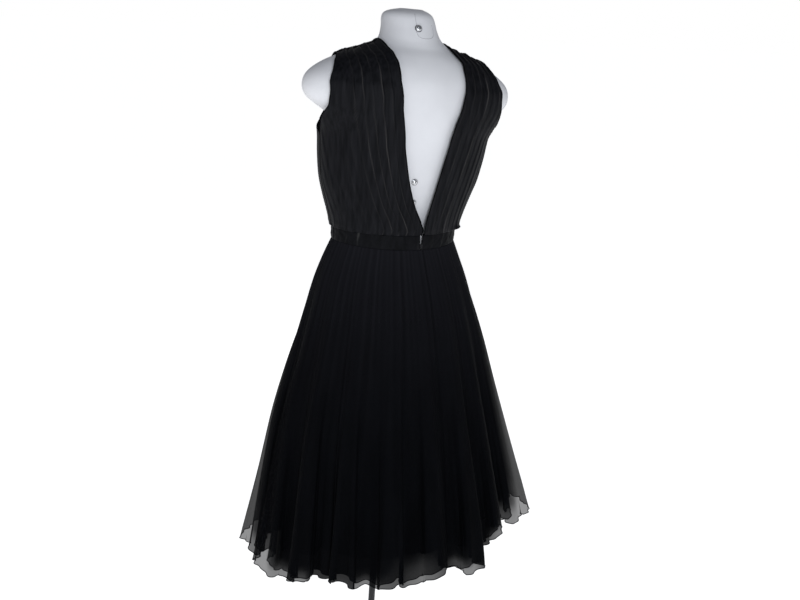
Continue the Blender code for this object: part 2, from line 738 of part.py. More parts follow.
def skirt_angles(start, end):
    """Angles at every quarter of a fold, with the panel's own two edges."""
    first = math.ceil(flute_phase(start) * POINTS_PER_FLUTE + 0.35)
    last = math.floor(flute_phase(end) * POINTS_PER_FLUTE - 0.35)
    inside = [flute_angle(k / POINTS_PER_FLUTE) for k in range(first, last + 1)]
    return [start] + inside + [end]


def make_skirt():
    """Two chiffon layers over a lining, each a front and two back pieces."""
    for layer in LAYERS:
        for part, start, end in panel_spans():
            angles = skirt_angles(start, end)
            rows = layer["rows"]
            outer = []
            inner = []
            for i in range(rows + 1):
                down = (i / rows) ** 1.15
                line_out = []
                line_in = []
                for angle in angles:
                    pair = skirt_point(layer, angle, down)
                    inward = (angle == start) - (angle == end)
                    along = Vector((math.cos(angle), -math.sin(angle), 0.0))
                    along *= inward * SEAM_GAP / 2
                    line_out.append(pair[0] + along)
                    line_in.append(pair[1] + along)
                outer.append(line_out)
                inner.append(line_in)
            name = layer["name"] + "_" + part
            add_object(name, wall(name, outer, inner), BLACK, 0.7)


# ---------------------------------------------------------------- closure

def make_closure():
    """The hook at the top of the opening and the zip's slider under the slit."""
    point, out = cloth_point(back_seam_angle(HOOK_Z), HOOK_Z)
    rings = []
    for i in range(HOOK_RINGS):
        t = 2 * i / (HOOK_RINGS - 1) - 1
        middle = point + out * HOOK_LIFT + Vector((HOOK_HALF * t, 0.0, HOOK_RISE * (1 - t * t)))
        along = Vector((HOOK_HALF, 0.0, -2 * HOOK_RISE * t)).normalized()
        across = Vector((0.0, 1.0, 0.0))
        up = along.cross(across)
        turn = [2 * math.pi * k / 8 for k in range(8)]
        rings.append([middle + (across * math.cos(a) + up * math.sin(a)) * HOOK_WIRE
                      for a in turn])
    add_object("hook", loft("hook", rings), (0.02, 0.02, 0.022), 0.35, 0.9)

    point, out = cloth_point(back_seam_angle(0.0), 0.0)
    bpy.ops.mesh.primitive_cube_add(size=1.0)
    slider = bpy.context.object
    slider.name = "zip_slider"
    slider.dimensions = SLIDER_SIZE
    slider.rotation_euler = (0.0, 0.0, -back_seam_angle(0.0))
    slider.location = Vector((point.x, point.y, WAIST_Z + SLIDER_Z)) + out * SLIDER_LIFT
    slider.data.materials.append(material("zip_slider", (0.02, 0.02, 0.022), 0.4, 0.8))
    for owner in list(slider.users_collection):
        owner.objects.unlink(slider)
    bpy.data.collections["evening_dress"].objects.link(slider)
    bevel = slider.modifiers.new("edges", "BEVEL")
    bevel.width = 0.0005
    bevel.segments = 1


def main():
    for old in list(bpy.data.objects):
        bpy.data.objects.remove(old, do_unlink=True)
    group = bpy.data.collections.new("evening_dress")
    bpy.context.scene.collection.children.link(group)
    make_stand()
    make_form()
    make_studs()
    make_bodice()
    make_waistband()
    make_skirt()
    make_closure()


main()
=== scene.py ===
# %% [markdown]
# # An evening dress on its dress form
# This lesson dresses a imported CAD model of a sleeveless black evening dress. The dress stands on a
# limbless form with a thin pole and a round base. Its back is open in a deep V down to a pleated
# waistband, and its skirt is made of two sheer layers over an opaque lining. The CAD model gives
# every place and size, and the lesson adds finer cloth, sewing, metal and light.

import json
import math

import bmesh
import bpy
import numpy as np
from mathutils import Matrix, Vector

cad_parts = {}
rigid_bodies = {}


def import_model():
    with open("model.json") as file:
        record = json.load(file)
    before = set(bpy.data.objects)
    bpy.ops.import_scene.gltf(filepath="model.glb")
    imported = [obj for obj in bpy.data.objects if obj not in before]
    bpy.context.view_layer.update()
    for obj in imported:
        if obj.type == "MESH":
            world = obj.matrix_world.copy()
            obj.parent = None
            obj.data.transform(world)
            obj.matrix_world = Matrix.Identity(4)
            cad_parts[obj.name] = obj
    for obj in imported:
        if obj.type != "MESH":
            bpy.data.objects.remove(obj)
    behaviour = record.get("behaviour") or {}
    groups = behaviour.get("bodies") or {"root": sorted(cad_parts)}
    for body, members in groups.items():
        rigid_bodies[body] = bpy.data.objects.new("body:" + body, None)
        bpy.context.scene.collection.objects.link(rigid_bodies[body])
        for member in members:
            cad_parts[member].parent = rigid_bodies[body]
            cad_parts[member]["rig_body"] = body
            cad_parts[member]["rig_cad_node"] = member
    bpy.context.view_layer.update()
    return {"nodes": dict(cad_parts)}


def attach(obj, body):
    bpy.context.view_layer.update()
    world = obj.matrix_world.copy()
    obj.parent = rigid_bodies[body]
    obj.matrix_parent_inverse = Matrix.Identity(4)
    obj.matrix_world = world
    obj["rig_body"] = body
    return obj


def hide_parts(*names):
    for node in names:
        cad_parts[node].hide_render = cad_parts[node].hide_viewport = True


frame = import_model()
bpy.ops.object.select_all(action="DESELECT")

# %% [markdown]
# ## The camera
# The photograph looks down on the dress a little, from behind its left shoulder, and the camera was
# held slightly turned. Its matrix is written from the view's own directions: right, up and back. So
# the slight roll is exact.

# %% The camera
CAMERA_FAR, CAMERA_SIDE, CAMERA_HIGH = 2.145, math.radians(24), 1.507
CAMERA_PLACE = Vector((CAMERA_FAR * math.sin(CAMERA_SIDE), CAMERA_FAR * math.cos(CAMERA_SIDE),
                       CAMERA_HIGH))
CAMERA_TURN = math.radians(24.492)   # the direction it looks from, round the pole
CAMERA_DOWN = math.radians(15.344)
CAMERA_ROLL = math.radians(3.855)


def new_object(name, data):
    """A new object of the scene, made from its data."""
    made = bpy.data.objects.new(name, data)
    bpy.context.scene.collection.objects.link(made)
    return made


def camera_matrix():
    """The camera's place and directions, as one matrix."""
    ahead = Vector((-math.sin(CAMERA_TURN) * math.cos(CAMERA_DOWN),
                    -math.cos(CAMERA_TURN) * math.cos(CAMERA_DOWN), -math.sin(CAMERA_DOWN)))
    level = ahead.cross(Vector((0, 0, 1))).normalized()
    above = level.cross(ahead)
    right = level * math.cos(CAMERA_ROLL) + above * math.sin(CAMERA_ROLL)
    up = above * math.cos(CAMERA_ROLL) - level * math.sin(CAMERA_ROLL)
    turned = Matrix((right, up, -ahead)).transposed().to_4x4()
    return Matrix.Translation(CAMERA_PLACE) @ turned


lens = bpy.data.cameras.new("camera")
lens.lens = 49.5
lens.sensor_width = 36.0
camera = new_object("camera", lens)
camera.matrix_world = camera_matrix()
bpy.context.scene.camera = camera
print("camera at", [round(v, 3) for v in CAMERA_PLACE])

# %% [markdown]
# ## The studio
# The photograph's ground is plain white, and the light comes from beside the camera, so the form is
# brightest in its middle and greyer towards its edges. A white floor that glows a little stays
# white far away, and the soft light from it keeps the form's edges from going dark.

# %% Floor, world and lights
def put(node, **values):
    """Sets some of a node's inputs by their names."""
    for name, value in values.items():
        node.inputs[name.replace("_", " ")].default_value = value
    return node


def add(shader, kind, **values):
    """A new node beside the shader, with some of its inputs set."""
    return put(shader.id_data.nodes.new("ShaderNode" + kind), **values)


def join(start, output, end, socket):
    """A link from one node's output to another one's input."""
    start.id_data.links.new(start.outputs[output], end.inputs[socket])


def plain_material(name, colour, roughness, **values):
    """A new material and its shader."""
    made = bpy.data.materials.new(name)
    made.use_nodes = True
    made.diffuse_color = (*colour, 1.0)
    shader = made.node_tree.nodes["Principled BSDF"]
    return made, put(shader, Base_Color=(*colour, 1.0), Roughness=roughness, **values)


def area_light(name, place, target, size, power, colour):
    """A soft square light that looks at one point."""
    data = bpy.data.lights.new(name, "AREA")
    data.size = size
    data.energy = power
    data.color = colour
    light = new_object(name, data)
    light.location = place
    light.rotation_euler = (Vector(target) - Vector(place)).to_track_quat("-Z", "Y").to_euler()


bpy.ops.mesh.primitive_plane_add(size=80.0, location=(0, 0, -0.0005))
floor = bpy.context.object
floor.name = "studio_floor"
white, _ = plain_material("studio_floor", (0.9, 0.9, 0.9), 0.9,
                          Emission_Color=(1, 1, 1, 1), Emission_Strength=0.82)
floor.data.materials.append(white)

world = bpy.data.worlds.new("studio")
bpy.context.scene.world = world
world.use_nodes = True
sky = put(world.node_tree.nodes["Background"], Color=(0.90, 0.93, 1.0, 1), Strength=0.22)
shown = add(sky, "Background", Color=(1, 1, 1, 1), Strength=1.0)
either = add(sky, "MixShader")
join(add(sky, "LightPath"), "Is Camera Ray", either, "Fac")
join(sky, "Background", either, 1)
join(shown, "Background", either, 2)
join(either, "Shader", world.node_tree.nodes["World Output"], "Surface")

area_light("key", (0.60, 2.6, 1.60), (0, 0, 1.15), 0.7, 29, (0.93, 0.96, 1.0))
area_light("left_fill", (2.4, 1.0, 1.4), (0, 0, 1.3), 1.0, 4, (0.96, 0.98, 1.0))
area_light("front_fill", (-1.2, -2.8, 1.6), (0, 0, 0.9), 1.6, 12, (1.0, 0.98, 0.96))
bpy.context.scene.view_settings.view_transform = "Standard"
bpy.context.scene.cycles.transparent_max_bounces = 16

# %% [markdown]
# ## The shape tables
# The cloth follows the same sections as the CAD model: heights from the waist seam, half widths and
# depths. Reading them with a smooth curve gives as many rings as the finer cloth needs. The main tables
# are in millimetres, so a change here is a change of pattern, as at a cutting table. All other sizes
# are in metres, as in the CAD model.

# %% Tables of sections
WAIST_Z = 1.05            # every table's heights start at the waist seam
SEAM_GAP = 0.0003
BACK_X = -0.0160          # centre-back opening
SHOULDER_ROLL = 0.032     # the left shoulder is a little higher
ROLL_FROM, ROLL_TO = 0.10, 0.24

FORM_ROWS = np.array((    # height, half width, depth to the front, to the back, lean, X
    (-272, 138, 90, 96, 0, 0),
    (-262, 152, 99, 107, 0, 0),
    (-200, 160, 102, 114, 0, 1.5),
    (-100, 142, 94, 98, 0, 3.5),
    (-40, 121, 81, 81, 0, 4.5),
    (0, 117, 79, 78.5, 0, 4.5),
    (50, 123, 85, 82, 0, 3),
    (110, 136, 102, 91, 0, -0.5),
    (170, 146, 117, 97, 0, -4),
    (217, 150, 112, 100, 0, -6),
    (233, 157, 106, 100, 0, -6.8),
    (244, 177, 104, 100, 0, -7.2),
    (265, 212, 100, 99, 0, -7.5),
    (288, 216.5, 94, 98, 0, -7.5),
    (306, 210, 87.5, 96, 0, -7.5),
    (319, 195.5, 81, 92.5, 0, -7.5),
    (332, 174.5, 75, 87.5, 0, -7),
    (343.5, 150, 70, 81.5, 0, -8),
    (356.5, 107, 64, 73.5, 1, -8.5),
    (365, 85, 60, 66, 2, -8.8),
    (370, 75.5, 58, 63, 2.5, -8.4),
    (376, 68, 56, 60, 3, -7.5),
    (381.5, 62.5, 54.5, 58, 4, -6.3),
    (388, 58.2, 53, 56.5, 5, -5),
    (403, 53.5, 52, 53.5, 9, -4),
    (415, 52.5, 52.5, 52.5, 13, -3.5),
    (425, 50, 50, 50, 15, -3),
    (432.5, 42, 42, 42, 16, -4.5),
    (438, 20, 20, 20, 17, -11),
)) / 1000
CLOTH_ROWS = np.array((   # the plain bodice up to the armholes: height, side, front, back
    (-40, 126.2, 90.5, 89.5),
    (22, 126.2, 90.5, 89.5),
    (50, 137, 99, 95.5),
    (80, 149, 108, 99),
    (120, 163, 119, 102.5),
    (160, 169.5, 127, 105.5),
    (200, 174, 124, 107.5),
    (235, 194, 120, 108),
    (265, 216, 114, 107.5),
    (295, 221.5, 101, 105),
)) / 1000
SKIRT_ROWS = np.array((   # height, half width left, right, depth front, back, depth of the folds
    (-675, 268, 317, 260, 295, 44),
    (-550, 254, 292, 235, 271, 38),
    (-470, 245, 270, 216, 251, 32),
    (-380, 233, 244, 194, 227, 24),
    (-290, 214, 218, 172, 199, 16),
    (-210, 194, 196, 152, 172, 9.5),
    (-140, 176.5, 174, 134, 147, 5.5),
    (-85, 162, 154.5, 117, 125, 3),
    (-40, 145, 135, 102, 104, 1.5),
    (-9.5, 130.8, 121.6, 90.5, 89.5, 0.4),
)) / 1000
HEM_ROWS = np.array((     # degrees from the centre back to the left side, and the hem's lift
    (-180, 0.062), (-150, 0.070), (-110, 0.095), (-85, 0.106), (-62, 0.100), (-46, 0.092),
    (-34, 0.080), (-26, 0.070), (-18, 0.056), (-8, 0.066), (0, 0.058), (16, 0.052), (32, 0.042),
    (46, 0.044), (58, 0.032), (68, 0.016), (76, 0.002), (86, 0.010), (98, 0.000), (112, 0.002),
    (125, 0.014), (150, 0.040), (180, 0.062),
))
FLARE_ROWS = (            # single big folds: degrees, half width, reach, start, growth
    (-68.0, 14.0, 0.041, -0.12, 0.75),
    (112.0, 13.0, 0.023, -0.20, 0.5),
    (86.0, 10.0, 0.014, -0.24, 0.8),
    (-140.0, 14.0, 0.020, -0.26, 1.0),
)
print("tables", len(FORM_ROWS), "form rings,", len(SKIRT_ROWS), "skirt sections")

# %% [markdown]
# ## Reading a table smoothly
# A straight line between two sections would show as a ridge in satin light. A monotone cubic curve
# is smooth and never overshoots its numbers, so no section swells past the size that was given.

# %% Smooth curves and rings
def smooth(xs, ys, at):
    """The smooth curve through the points, at many places at once."""
    xs, ys, at = np.asarray(xs, float), np.asarray(ys, float), np.asarray(at, float)
    step = np.diff(ys) / np.diff(xs)
    tangent = np.concatenate((step[:1], np.zeros(len(xs) - 2), step[-1:]))
    same = step[:-1] * step[1:] > 0
    both = np.where(same, step[:-1] + step[1:], 1.0)
    tangent[1:-1] = np.where(same, 2 * step[:-1] * step[1:] / both, 0.0)
    i = np.clip(np.searchsorted(xs, at, "right") - 1, 0, len(xs) - 2)
    h = xs[i + 1] - xs[i]
    t = ramp(at, xs[i], xs[i + 1])
    return ((1 + 2 * t) * (1 - t) ** 2 * ys[i] + t * t * (3 - 2 * t) * ys[i + 1]
            + h * t * (1 - t) ** 2 * tangent[i] - h * t * t * (1 - t) * tangent[i + 1])


def mix(a, b, t):
    """The way from one value to another."""
    return a + (b - a) * t


def ramp(x, start, end):
    """0 up to the start, 1 from the end on, and straight in between."""
    return np.clip((x - start) / (end - start), 0, 1)


def read(rows, at):
    """Every column of a table at many heights."""
    return [smooth(rows[:, 0], rows[:, k], at) for k in range(1, rows.shape[1])]


def ring_points(side, front, back, lean, x, angle, z):
    """Points of the body's rings. The angle is 0 at the back and grows to the left side."""
    depth = np.where(np.cos(angle) > 0, back, front)
    px = x + side * np.sin(angle)
    py = depth * np.cos(angle) - lean
    rolled = SHOULDER_ROLL * ramp(z, ROLL_FROM, ROLL_TO)
    return np.stack((px, py, WAIST_Z + z + rolled * px), -1)


print("waist ring", ring_points(*read(FORM_ROWS, 0.0), 0.0, 0.0).round(4))

# %% [markdown]
# ## The bodice's own surface
# Up to the armholes the cloth stands off the form, and above them it lies on the form's shoulders.
# Both are one run of rings, so the cloth can be laid on it by angle and height, like a coordinate
# map of the body. The outward direction comes from the surface itself.

# %% Rings of the bodice
SHOULDER_EASE, LEAST_EASE = 0.0045, 0.0006   # how far the cloth lies off the shoulders
SEAT = 0.0023             # how much higher it lies
STRAP_INNER, STRAP_TIP = 0.068, 0.150   # where the shoulder seam starts and ends
SHOULDER_FROM = 0.306     # from this height up the cloth follows the form
PROBE = 0.001             # how far up and down the surface's slope is read


def bodice_rings():
    """The bodice's rings: its own up to the armholes, then the form's, lifted."""
    rows = []
    for z, side, front, back in CLOTH_ROWS:
        lean, x = read(FORM_ROWS, z)[3:]
        rows.append((z, side, front, back, lean, x))
    for z, side, front, back, lean, x in FORM_ROWS[FORM_ROWS[:, 0] >= SHOULDER_FROM]:
        fade = min(1.0, max(0.0, (side - STRAP_INNER) / (STRAP_TIP - STRAP_INNER)))
        ease = SHOULDER_EASE * fade + LEAST_EASE
        rows.append((z + SEAT, side + ease, front + ease, back + ease, lean, x))
    return np.array(rows)


BODICE_RINGS = bodice_rings()


def bodice_surface(angle, z):
    """Points of the plain bodice and their outward directions."""
    size = read(BODICE_RINGS, z)
    up, down = read(BODICE_RINGS, z + PROBE), read(BODICE_RINGS, z - PROBE)
    depth = np.where(np.cos(angle) > 0, size[2], size[1])
    grow = np.where(np.cos(angle) > 0, up[2] - down[2], up[1] - down[1]) / (2 * PROBE)
    grow_side = (up[0] - down[0]) / (2 * PROBE)
    s, c = np.sin(angle), np.cos(angle)
    out = np.stack((s / size[0], c / depth, -s * s * grow_side / size[0] - c * c * grow / depth), -1)
    return ring_points(*size, angle, z), out / np.linalg.norm(out, axis=-1, keepdims=True)


def side_angle(reach, z, front=False):
    """The angle of the cloth's point at one distance from the ring's centre."""
    side = read(BODICE_RINGS, z)[0]
    angle = np.copysign(np.arcsin(np.minimum(1.0, np.abs(reach) / side)), reach)
    return math.pi - angle if front else angle


RIDGE_Z = np.linspace(CLOTH_ROWS[-1, 0], FORM_ROWS[-1, 0], 600)
RIDGE_SIDE = read(BODICE_RINGS, RIDGE_Z)[0]


def over_shoulder(angle, z, share, done):
    """Angle and height on the way from a panel's last row up to the shoulder seam."""
    turned = mix(np.abs(angle), math.pi / 2, done)
    start = read(BODICE_RINGS, z)[0] * np.sin(np.abs(angle))
    reach = mix(start, mix(STRAP_INNER, STRAP_TIP, share), done)
    height = np.interp(-reach / np.sin(turned), -RIDGE_SIDE, RIDGE_Z)
    return np.copysign(turned, angle), height


print("bodice rings", len(BODICE_RINGS))

# %% [markdown]
# ## Cloth as a grid
# A dress is flat cloth that was cut, folded and sewn, so each piece is one grid of points with its own
# map of the weave in real metres. The opaque pieces get a thin wall. The sheer ones stay a single
# surface, because every wall that the light crosses darkens it, as each layer of chiffon does.

# %% Making a cloth piece
PIECES, MEASURES = [], {}   # the names of what was made, and each cloth's width, length and area


def in_hand(piece):
    """Selects one piece alone, so that an operator acts on nothing else."""
    bpy.ops.object.select_all(action="DESELECT")
    piece.select_set(True)
    bpy.context.view_layer.objects.active = piece


def lengths(points, axis):
    """How far along the cloth each point lies, in metres."""
    steps = np.linalg.norm(np.diff(points, axis=axis), axis=-1)
    start = np.zeros_like(np.take(steps, [0], axis=axis))
    return np.cumsum(np.concatenate((start, steps), axis), axis)


def cloth_piece(name, points, cloth, wall=0.0, keep=None, **marks):
    """A sheet through a grid of points, with the weave's map and, if asked, a thin wall.

    Each of the marks is a number at every point, which a material reads by its name.
    """
    rows, columns = points.shape[:2]
    index = np.arange(rows * columns).reshape(rows, columns)
    quads = np.stack((index[:-1, :-1], index[:-1, 1:], index[1:, 1:], index[1:, :-1]), -1)
    quads = quads[keep] if keep is not None else quads.reshape(-1, 4)
    flat = points.reshape(-1, 3)
    a, b, c = (flat[quads[:, k]] for k in (0, 1, 2))
    if (np.cross(b - a, c - a) * (a + c) / 2 * (1, 1, 0)).sum() < 0:   # the faces look inwards
        quads = quads[:, ::-1]
    mesh = bpy.data.meshes.new(name)
    mesh.from_pydata(flat.tolist(), [], quads.tolist())
    mesh.materials.append(cloth)
    across, down = lengths(points, 1), lengths(points, 0)
    spots = np.stack((across, down), -1).reshape(-1, 2)[quads.reshape(-1)]
    mesh.uv_layers.new(name="weave").data.foreach_set("uv", spots.astype(np.float32).ravel())
    for mark, values in marks.items():
        numbers = mesh.attributes.new(mark, "FLOAT", "POINT").data
        numbers.foreach_set("value", values.astype(np.float32).ravel())
    area = sum(face.area for face in mesh.polygons)
    MEASURES[name] = (float(across[:, -1].max()), float(down[-1].max()), area)
    print(name, "is %.3f by %.3f m, %.4f square metres" % MEASURES[name])
    piece = new_object(name, mesh)
    in_hand(piece)
    bpy.ops.object.mode_set(mode="EDIT")
    bpy.ops.mesh.select_all(action="SELECT")
    bpy.ops.mesh.delete_loose()
    bpy.ops.object.mode_set(mode="OBJECT")
    bpy.ops.object.shade_smooth()
    if wall:
        shell = piece.modifiers.new("wall", "SOLIDIFY")
        shell.thickness = wall
        shell.offset = -1.0
        bpy.ops.object.modifier_apply(modifier=shell.name)
    return piece


def tube(name, points, radius, stuff, closed=False):
    """A thin round edge that follows points, such as a rolled hem."""
    data = bpy.data.curves.new(name, "CURVE")
    data.dimensions = "3D"
    data.bevel_depth = radius
    data.bevel_resolution = 1
    data.use_fill_caps = True
    line = data.splines.new("POLY")
    line.points.add(len(points) - 1)
    line.points.foreach_set("co", np.c_[np.array(points), np.ones(len(points))].ravel())
    line.use_cyclic_u = closed
    in_hand(new_object(name, data))
    bpy.ops.object.convert(target="MESH")
    piece = bpy.context.object
    piece.data.materials.append(stuff)
    bpy.ops.object.shade_smooth()
    return piece


def wear(piece, slot, *nodes):
    """The piece rides on the body and stands for its CAD nodes, which are hidden. The slot is not used.
    """
    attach(piece, "root")
    if nodes:
        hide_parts(*nodes)
    PIECES.append(piece.name)


def edge_rolls(node, slot, edges):
    """A thin roll or seam along each named edge of a cloth piece."""
    for edge, (line, radius) in edges.items():
        wear(tube(f"{node}_{edge}", line, radius, rolled), slot)


print("cloth tools ready")

# %% [markdown]
# ## Black silk chiffon and its lining
# Chiffon is a plain weave of twisted threads, fine enough to see through. Crossed waves on the
# cloth's own map give the threads, and a soft noise moves the dye's depth. The pleated bodice has
# several layers and is opaque, and a painted highlight, a lighter colour, lies along its folded edges.

# %% Cloth materials
THREAD_PITCH, THREAD_DEPTH = 0.0006, 0.00012
WAVE_RATE = 3.18          # how often the wave texture repeats in one unit


def weave(shader, strength):
    """Crossed threads as a bump, on the cloth's own map in metres."""
    where = add(shader, "UVMap")
    where.uv_map = "weave"
    both = add(shader, "Math")
    both.operation = "MAXIMUM"
    scale = 1.0 / (WAVE_RATE * THREAD_PITCH)
    for socket, direction in enumerate("XY"):
        wave = add(shader, "TexWave", Scale=scale, Distortion=1.5, Detail=1.0)
        wave.bands_direction = direction
        join(where, "UV", wave, "Vector")
        join(wave, "Fac", both, socket)
    bump = add(shader, "Bump", Strength=strength, Distance=THREAD_DEPTH)
    join(both, "Value", bump, "Height")
    join(bump, "Normal", shader, "Normal")


def toned(shader, source, output, tones, steps, **noise):
    """Colour that changes softly between a dark tone and a light one."""
    blotch = add(shader, "TexNoise", **noise)
    ramp = add(shader, "ValToRGB")
    for element, place, tone in zip(ramp.color_ramp.elements, steps, tones):
        element.position = place
        element.color = (*tone, 1)
    join(source, output, blotch, "Vector")
    join(blotch, "Fac", ramp, "Fac")
    join(ramp, "Color", shader, "Base Color")
    return ramp


def marked(shader, mark, end, socket):
    """Leads the number that the cloth carries at each point to a node."""
    made = add(shader, "Attribute")
    made.attribute_name = mark
    join(made, "Fac", end, socket)


def black_cloth(name, dark, light, roughness, sheen, gloss=0.10, alpha=1.0, crest=None,
                bunched=None, streaks=(40.0, 0.12), threads=0.3):
    """Black cloth: its dye, its weave, a painted highlight on its folds' edges and, where it is sheer,
    its density.

    The streaks of the dye are given by their fineness and by how much longer they are upwards.
    """
    made, shader = plain_material(name, dark, roughness, Specular_IOR_Level=gloss, Alpha=alpha,
                                  Sheen_Weight=sheen, Sheen_Roughness=0.35,
                                  Sheen_Tint=(0.75, 0.82, 1.0, 1))
    fine, stretch = streaks
    longer = add(shader, "Mapping", Scale=(fine, fine, fine * stretch))
    join(add(shader, "TexCoord"), "Object", longer, "Vector")
    ramp = toned(shader, longer, "Vector", (dark, light), (0.35, 0.70), Scale=1.0, Detail=4.0)
    weave(shader, threads)
    # A painted highlight: a lighter colour, mixed in where the cloth's own mark is high.
    if crest:
        lit = add(shader, "Mix")
        lit.data_type = "RGBA"
        put(lit, B=(*crest, 1))
        marked(shader, "crest", lit, "Factor")
        join(ramp, "Color", lit, "A")
        join(lit, "Result", shader, "Base Color")
    if bunched:
        dense = add(shader, "MapRange", To_Min=alpha, To_Max=bunched)
        marked(shader, "bunched", dense, "Value")
        join(dense, "Result", shader, "Alpha")
    return made


# In these cloths a lighter colour is painted as a highlight: on the pleats' folded edges, on the band's
# pleats and, fainter, over the skirt's gathered top.
pleated = black_cloth("pleated_chiffon", (0.0016, 0.0019, 0.0030), (0.0080, 0.0082, 0.0105), 0.60,
                      0.002, 0.08, crest=(0.040, 0.038, 0.038), streaks=(170.0, 0.05))
band_cloth = black_cloth("waistband_chiffon", (0.0015, 0.0018, 0.0026), (0.0042, 0.0045, 0.0060), 0.62,
                         0.002, 0.07, crest=(0.045, 0.045, 0.045), streaks=(120.0, 0.3))
lining_cloth = black_cloth("lining_taffeta", (0.0014, 0.0015, 0.0020), (0.0028, 0.0029, 0.0036), 0.7,
                           0.0, 0.02, threads=0.1)
sheer = black_cloth("sheer_chiffon", (0.0006, 0.0008, 0.0013), (0.0015, 0.0018, 0.0026), 0.8,
                    0.0, 0.03, alpha=0.74, crest=(0.016, 0.016, 0.020), bunched=0.985)
rolled = black_cloth("rolled_hem", (0.0015, 0.0018, 0.0022), (0.003, 0.0033, 0.004), 0.7, 0.0, 0.05)
print("cloth materials", [m.name for m in (pleated, band_cloth, lining_cloth, sheer, rolled)])

# %% [markdown]
# ## The pleated bodice
# Each back panel is a run of narrow knife pleats from the gathered shoulder to the waist, and it
# blouses a little over the band. A knife pleat rises steeply to its folded edge and falls slowly to
# the next, so one profile is repeated across the panel, with its width, height and line made uneven.

# %% The pleats' profile and the back panels
BACK_ROWS = np.array((    # height in, out, the V's X left, right, the armhole's X left, right
    (21.5, 21.5, -13, -19, 0, 0),
    (20.5, 20.5, -13, -19, 0, 0),
    (30, 30, -15, -17.2, 0, 0),
    (47, 47, -8.5, -20, 0, 0),
    (80, 80, 8, -27.8, 0, 0),
    (120, 120, 21.5, -36.8, 0, 0),
    (160, 158, 31.2, -45.9, 0, 0),
    (200, 194, 38, -55.8, 0, 0),
    (240, 228, 43.2, -66.8, 183.5, 177),
    (280, 260, 46.8, -79, 181, 172),
    (314, 288, 50.6, -84.3, 181, 169),
    (340, 310, 52, -82.6, 178, 163),
    (357, 327, 55, -77.4, 170, 157),
    (369, 338.5, 58.5, -73, 162, 151),
)) / 1000
LOOSE_ROWS = np.array((   # at the same steps: how far the cloth pouches, how high its pleats are
    (0, 0.3), (5.5, 0.8), (6.5, 1.4), (3.2, 1.6), (0.8, 1.6), (0, 1.6), (0, 1.6), (0, 1.6),
    (0, 1.6), (0, 1.6), (0, 1.6),
    (0, 1.8), (0, 2.2), (0, 2.4),
)) / 1000
BACK_COLUMNS = 150
PLEAT_ROWS = ((0, 3, 9, 13, 16), (0.0145, 0.0145, 0.0172, 0.0155, 0.0135))   # steps, a pleat's width
ROWS_PER_STEP = 6
SHOULDER_STEPS = (0.0, 0.35, 0.68, 1.0)   # three more steps lead over the shoulder to its seam
GATHER_STEP, SEAM_STEP = 12, 15
ARMHOLE_STEP = 8          # the table's row at which the armhole starts
BODICE_WALL = 0.0008
SIDE_BULGE = 0.007        # the right side hangs over the band a little more
FOLD_AT = 0.22            # where in its repeat a pleat has its folded edge
ROLL, SIDE_SEAM, SHOULDER_SEAM = 0.0010, 0.0008, 0.0014   # radii of the edges


def pleat(place):
    """A knife pleat over one repeat: a steep rise to the fold and a long fall."""
    part = place % 1.0
    rise, fall = ramp(part, 0, FOLD_AT), ramp(part, FOLD_AT, 1)
    return rise * rise * (3 - 2 * rise) * (1 - fall ** 1.2)


def near_fold(place, at):
    """1 on a pleat's folded edge and 0 a little away from it."""
    return 1 - ramp(np.abs(place % 1.0 - at), 0, 0.09)


def uneven(place, s, seed):
    """How high each pleat stands, which changes a little down the cloth."""
    number = np.floor(place)
    height = 1.0 + 0.30 * np.sin(2.4 * number + seed) + 0.18 * np.sin(0.9 * s + 1.7 * number + seed)
    return np.clip(height, 0.45, 1.5)


def by_step(rows, s):
    """Every column of a table of rows, read by the row's number."""
    steps = np.arange(len(rows))
    return [smooth(steps, rows[:, k], s) for k in range(rows.shape[1])]


def panel_steps(rows):
    """The steps up a panel and over the shoulder, as a column of the grid."""
    last = len(rows) + 2
    return np.linspace(0, last, last * ROWS_PER_STEP + 1)[:, None]


def panel_places(first, end, z_in, z_out, s, u):
    """Angle and height at every point of a panel, and on over the shoulder to its seam."""
    last = len(first) - 1
    angle = mix(smooth(range(last + 1), first, s), smooth(range(last + 1), end, s), u)
    z = mix(z_in, z_out, u)
    done = smooth(range(last, last + 4), SHOULDER_STEPS, s)
    over_angle, over_z = over_shoulder(angle, z, u, done)
    return np.where(done > 0, over_angle, angle), np.where(done > 0, over_z, z)


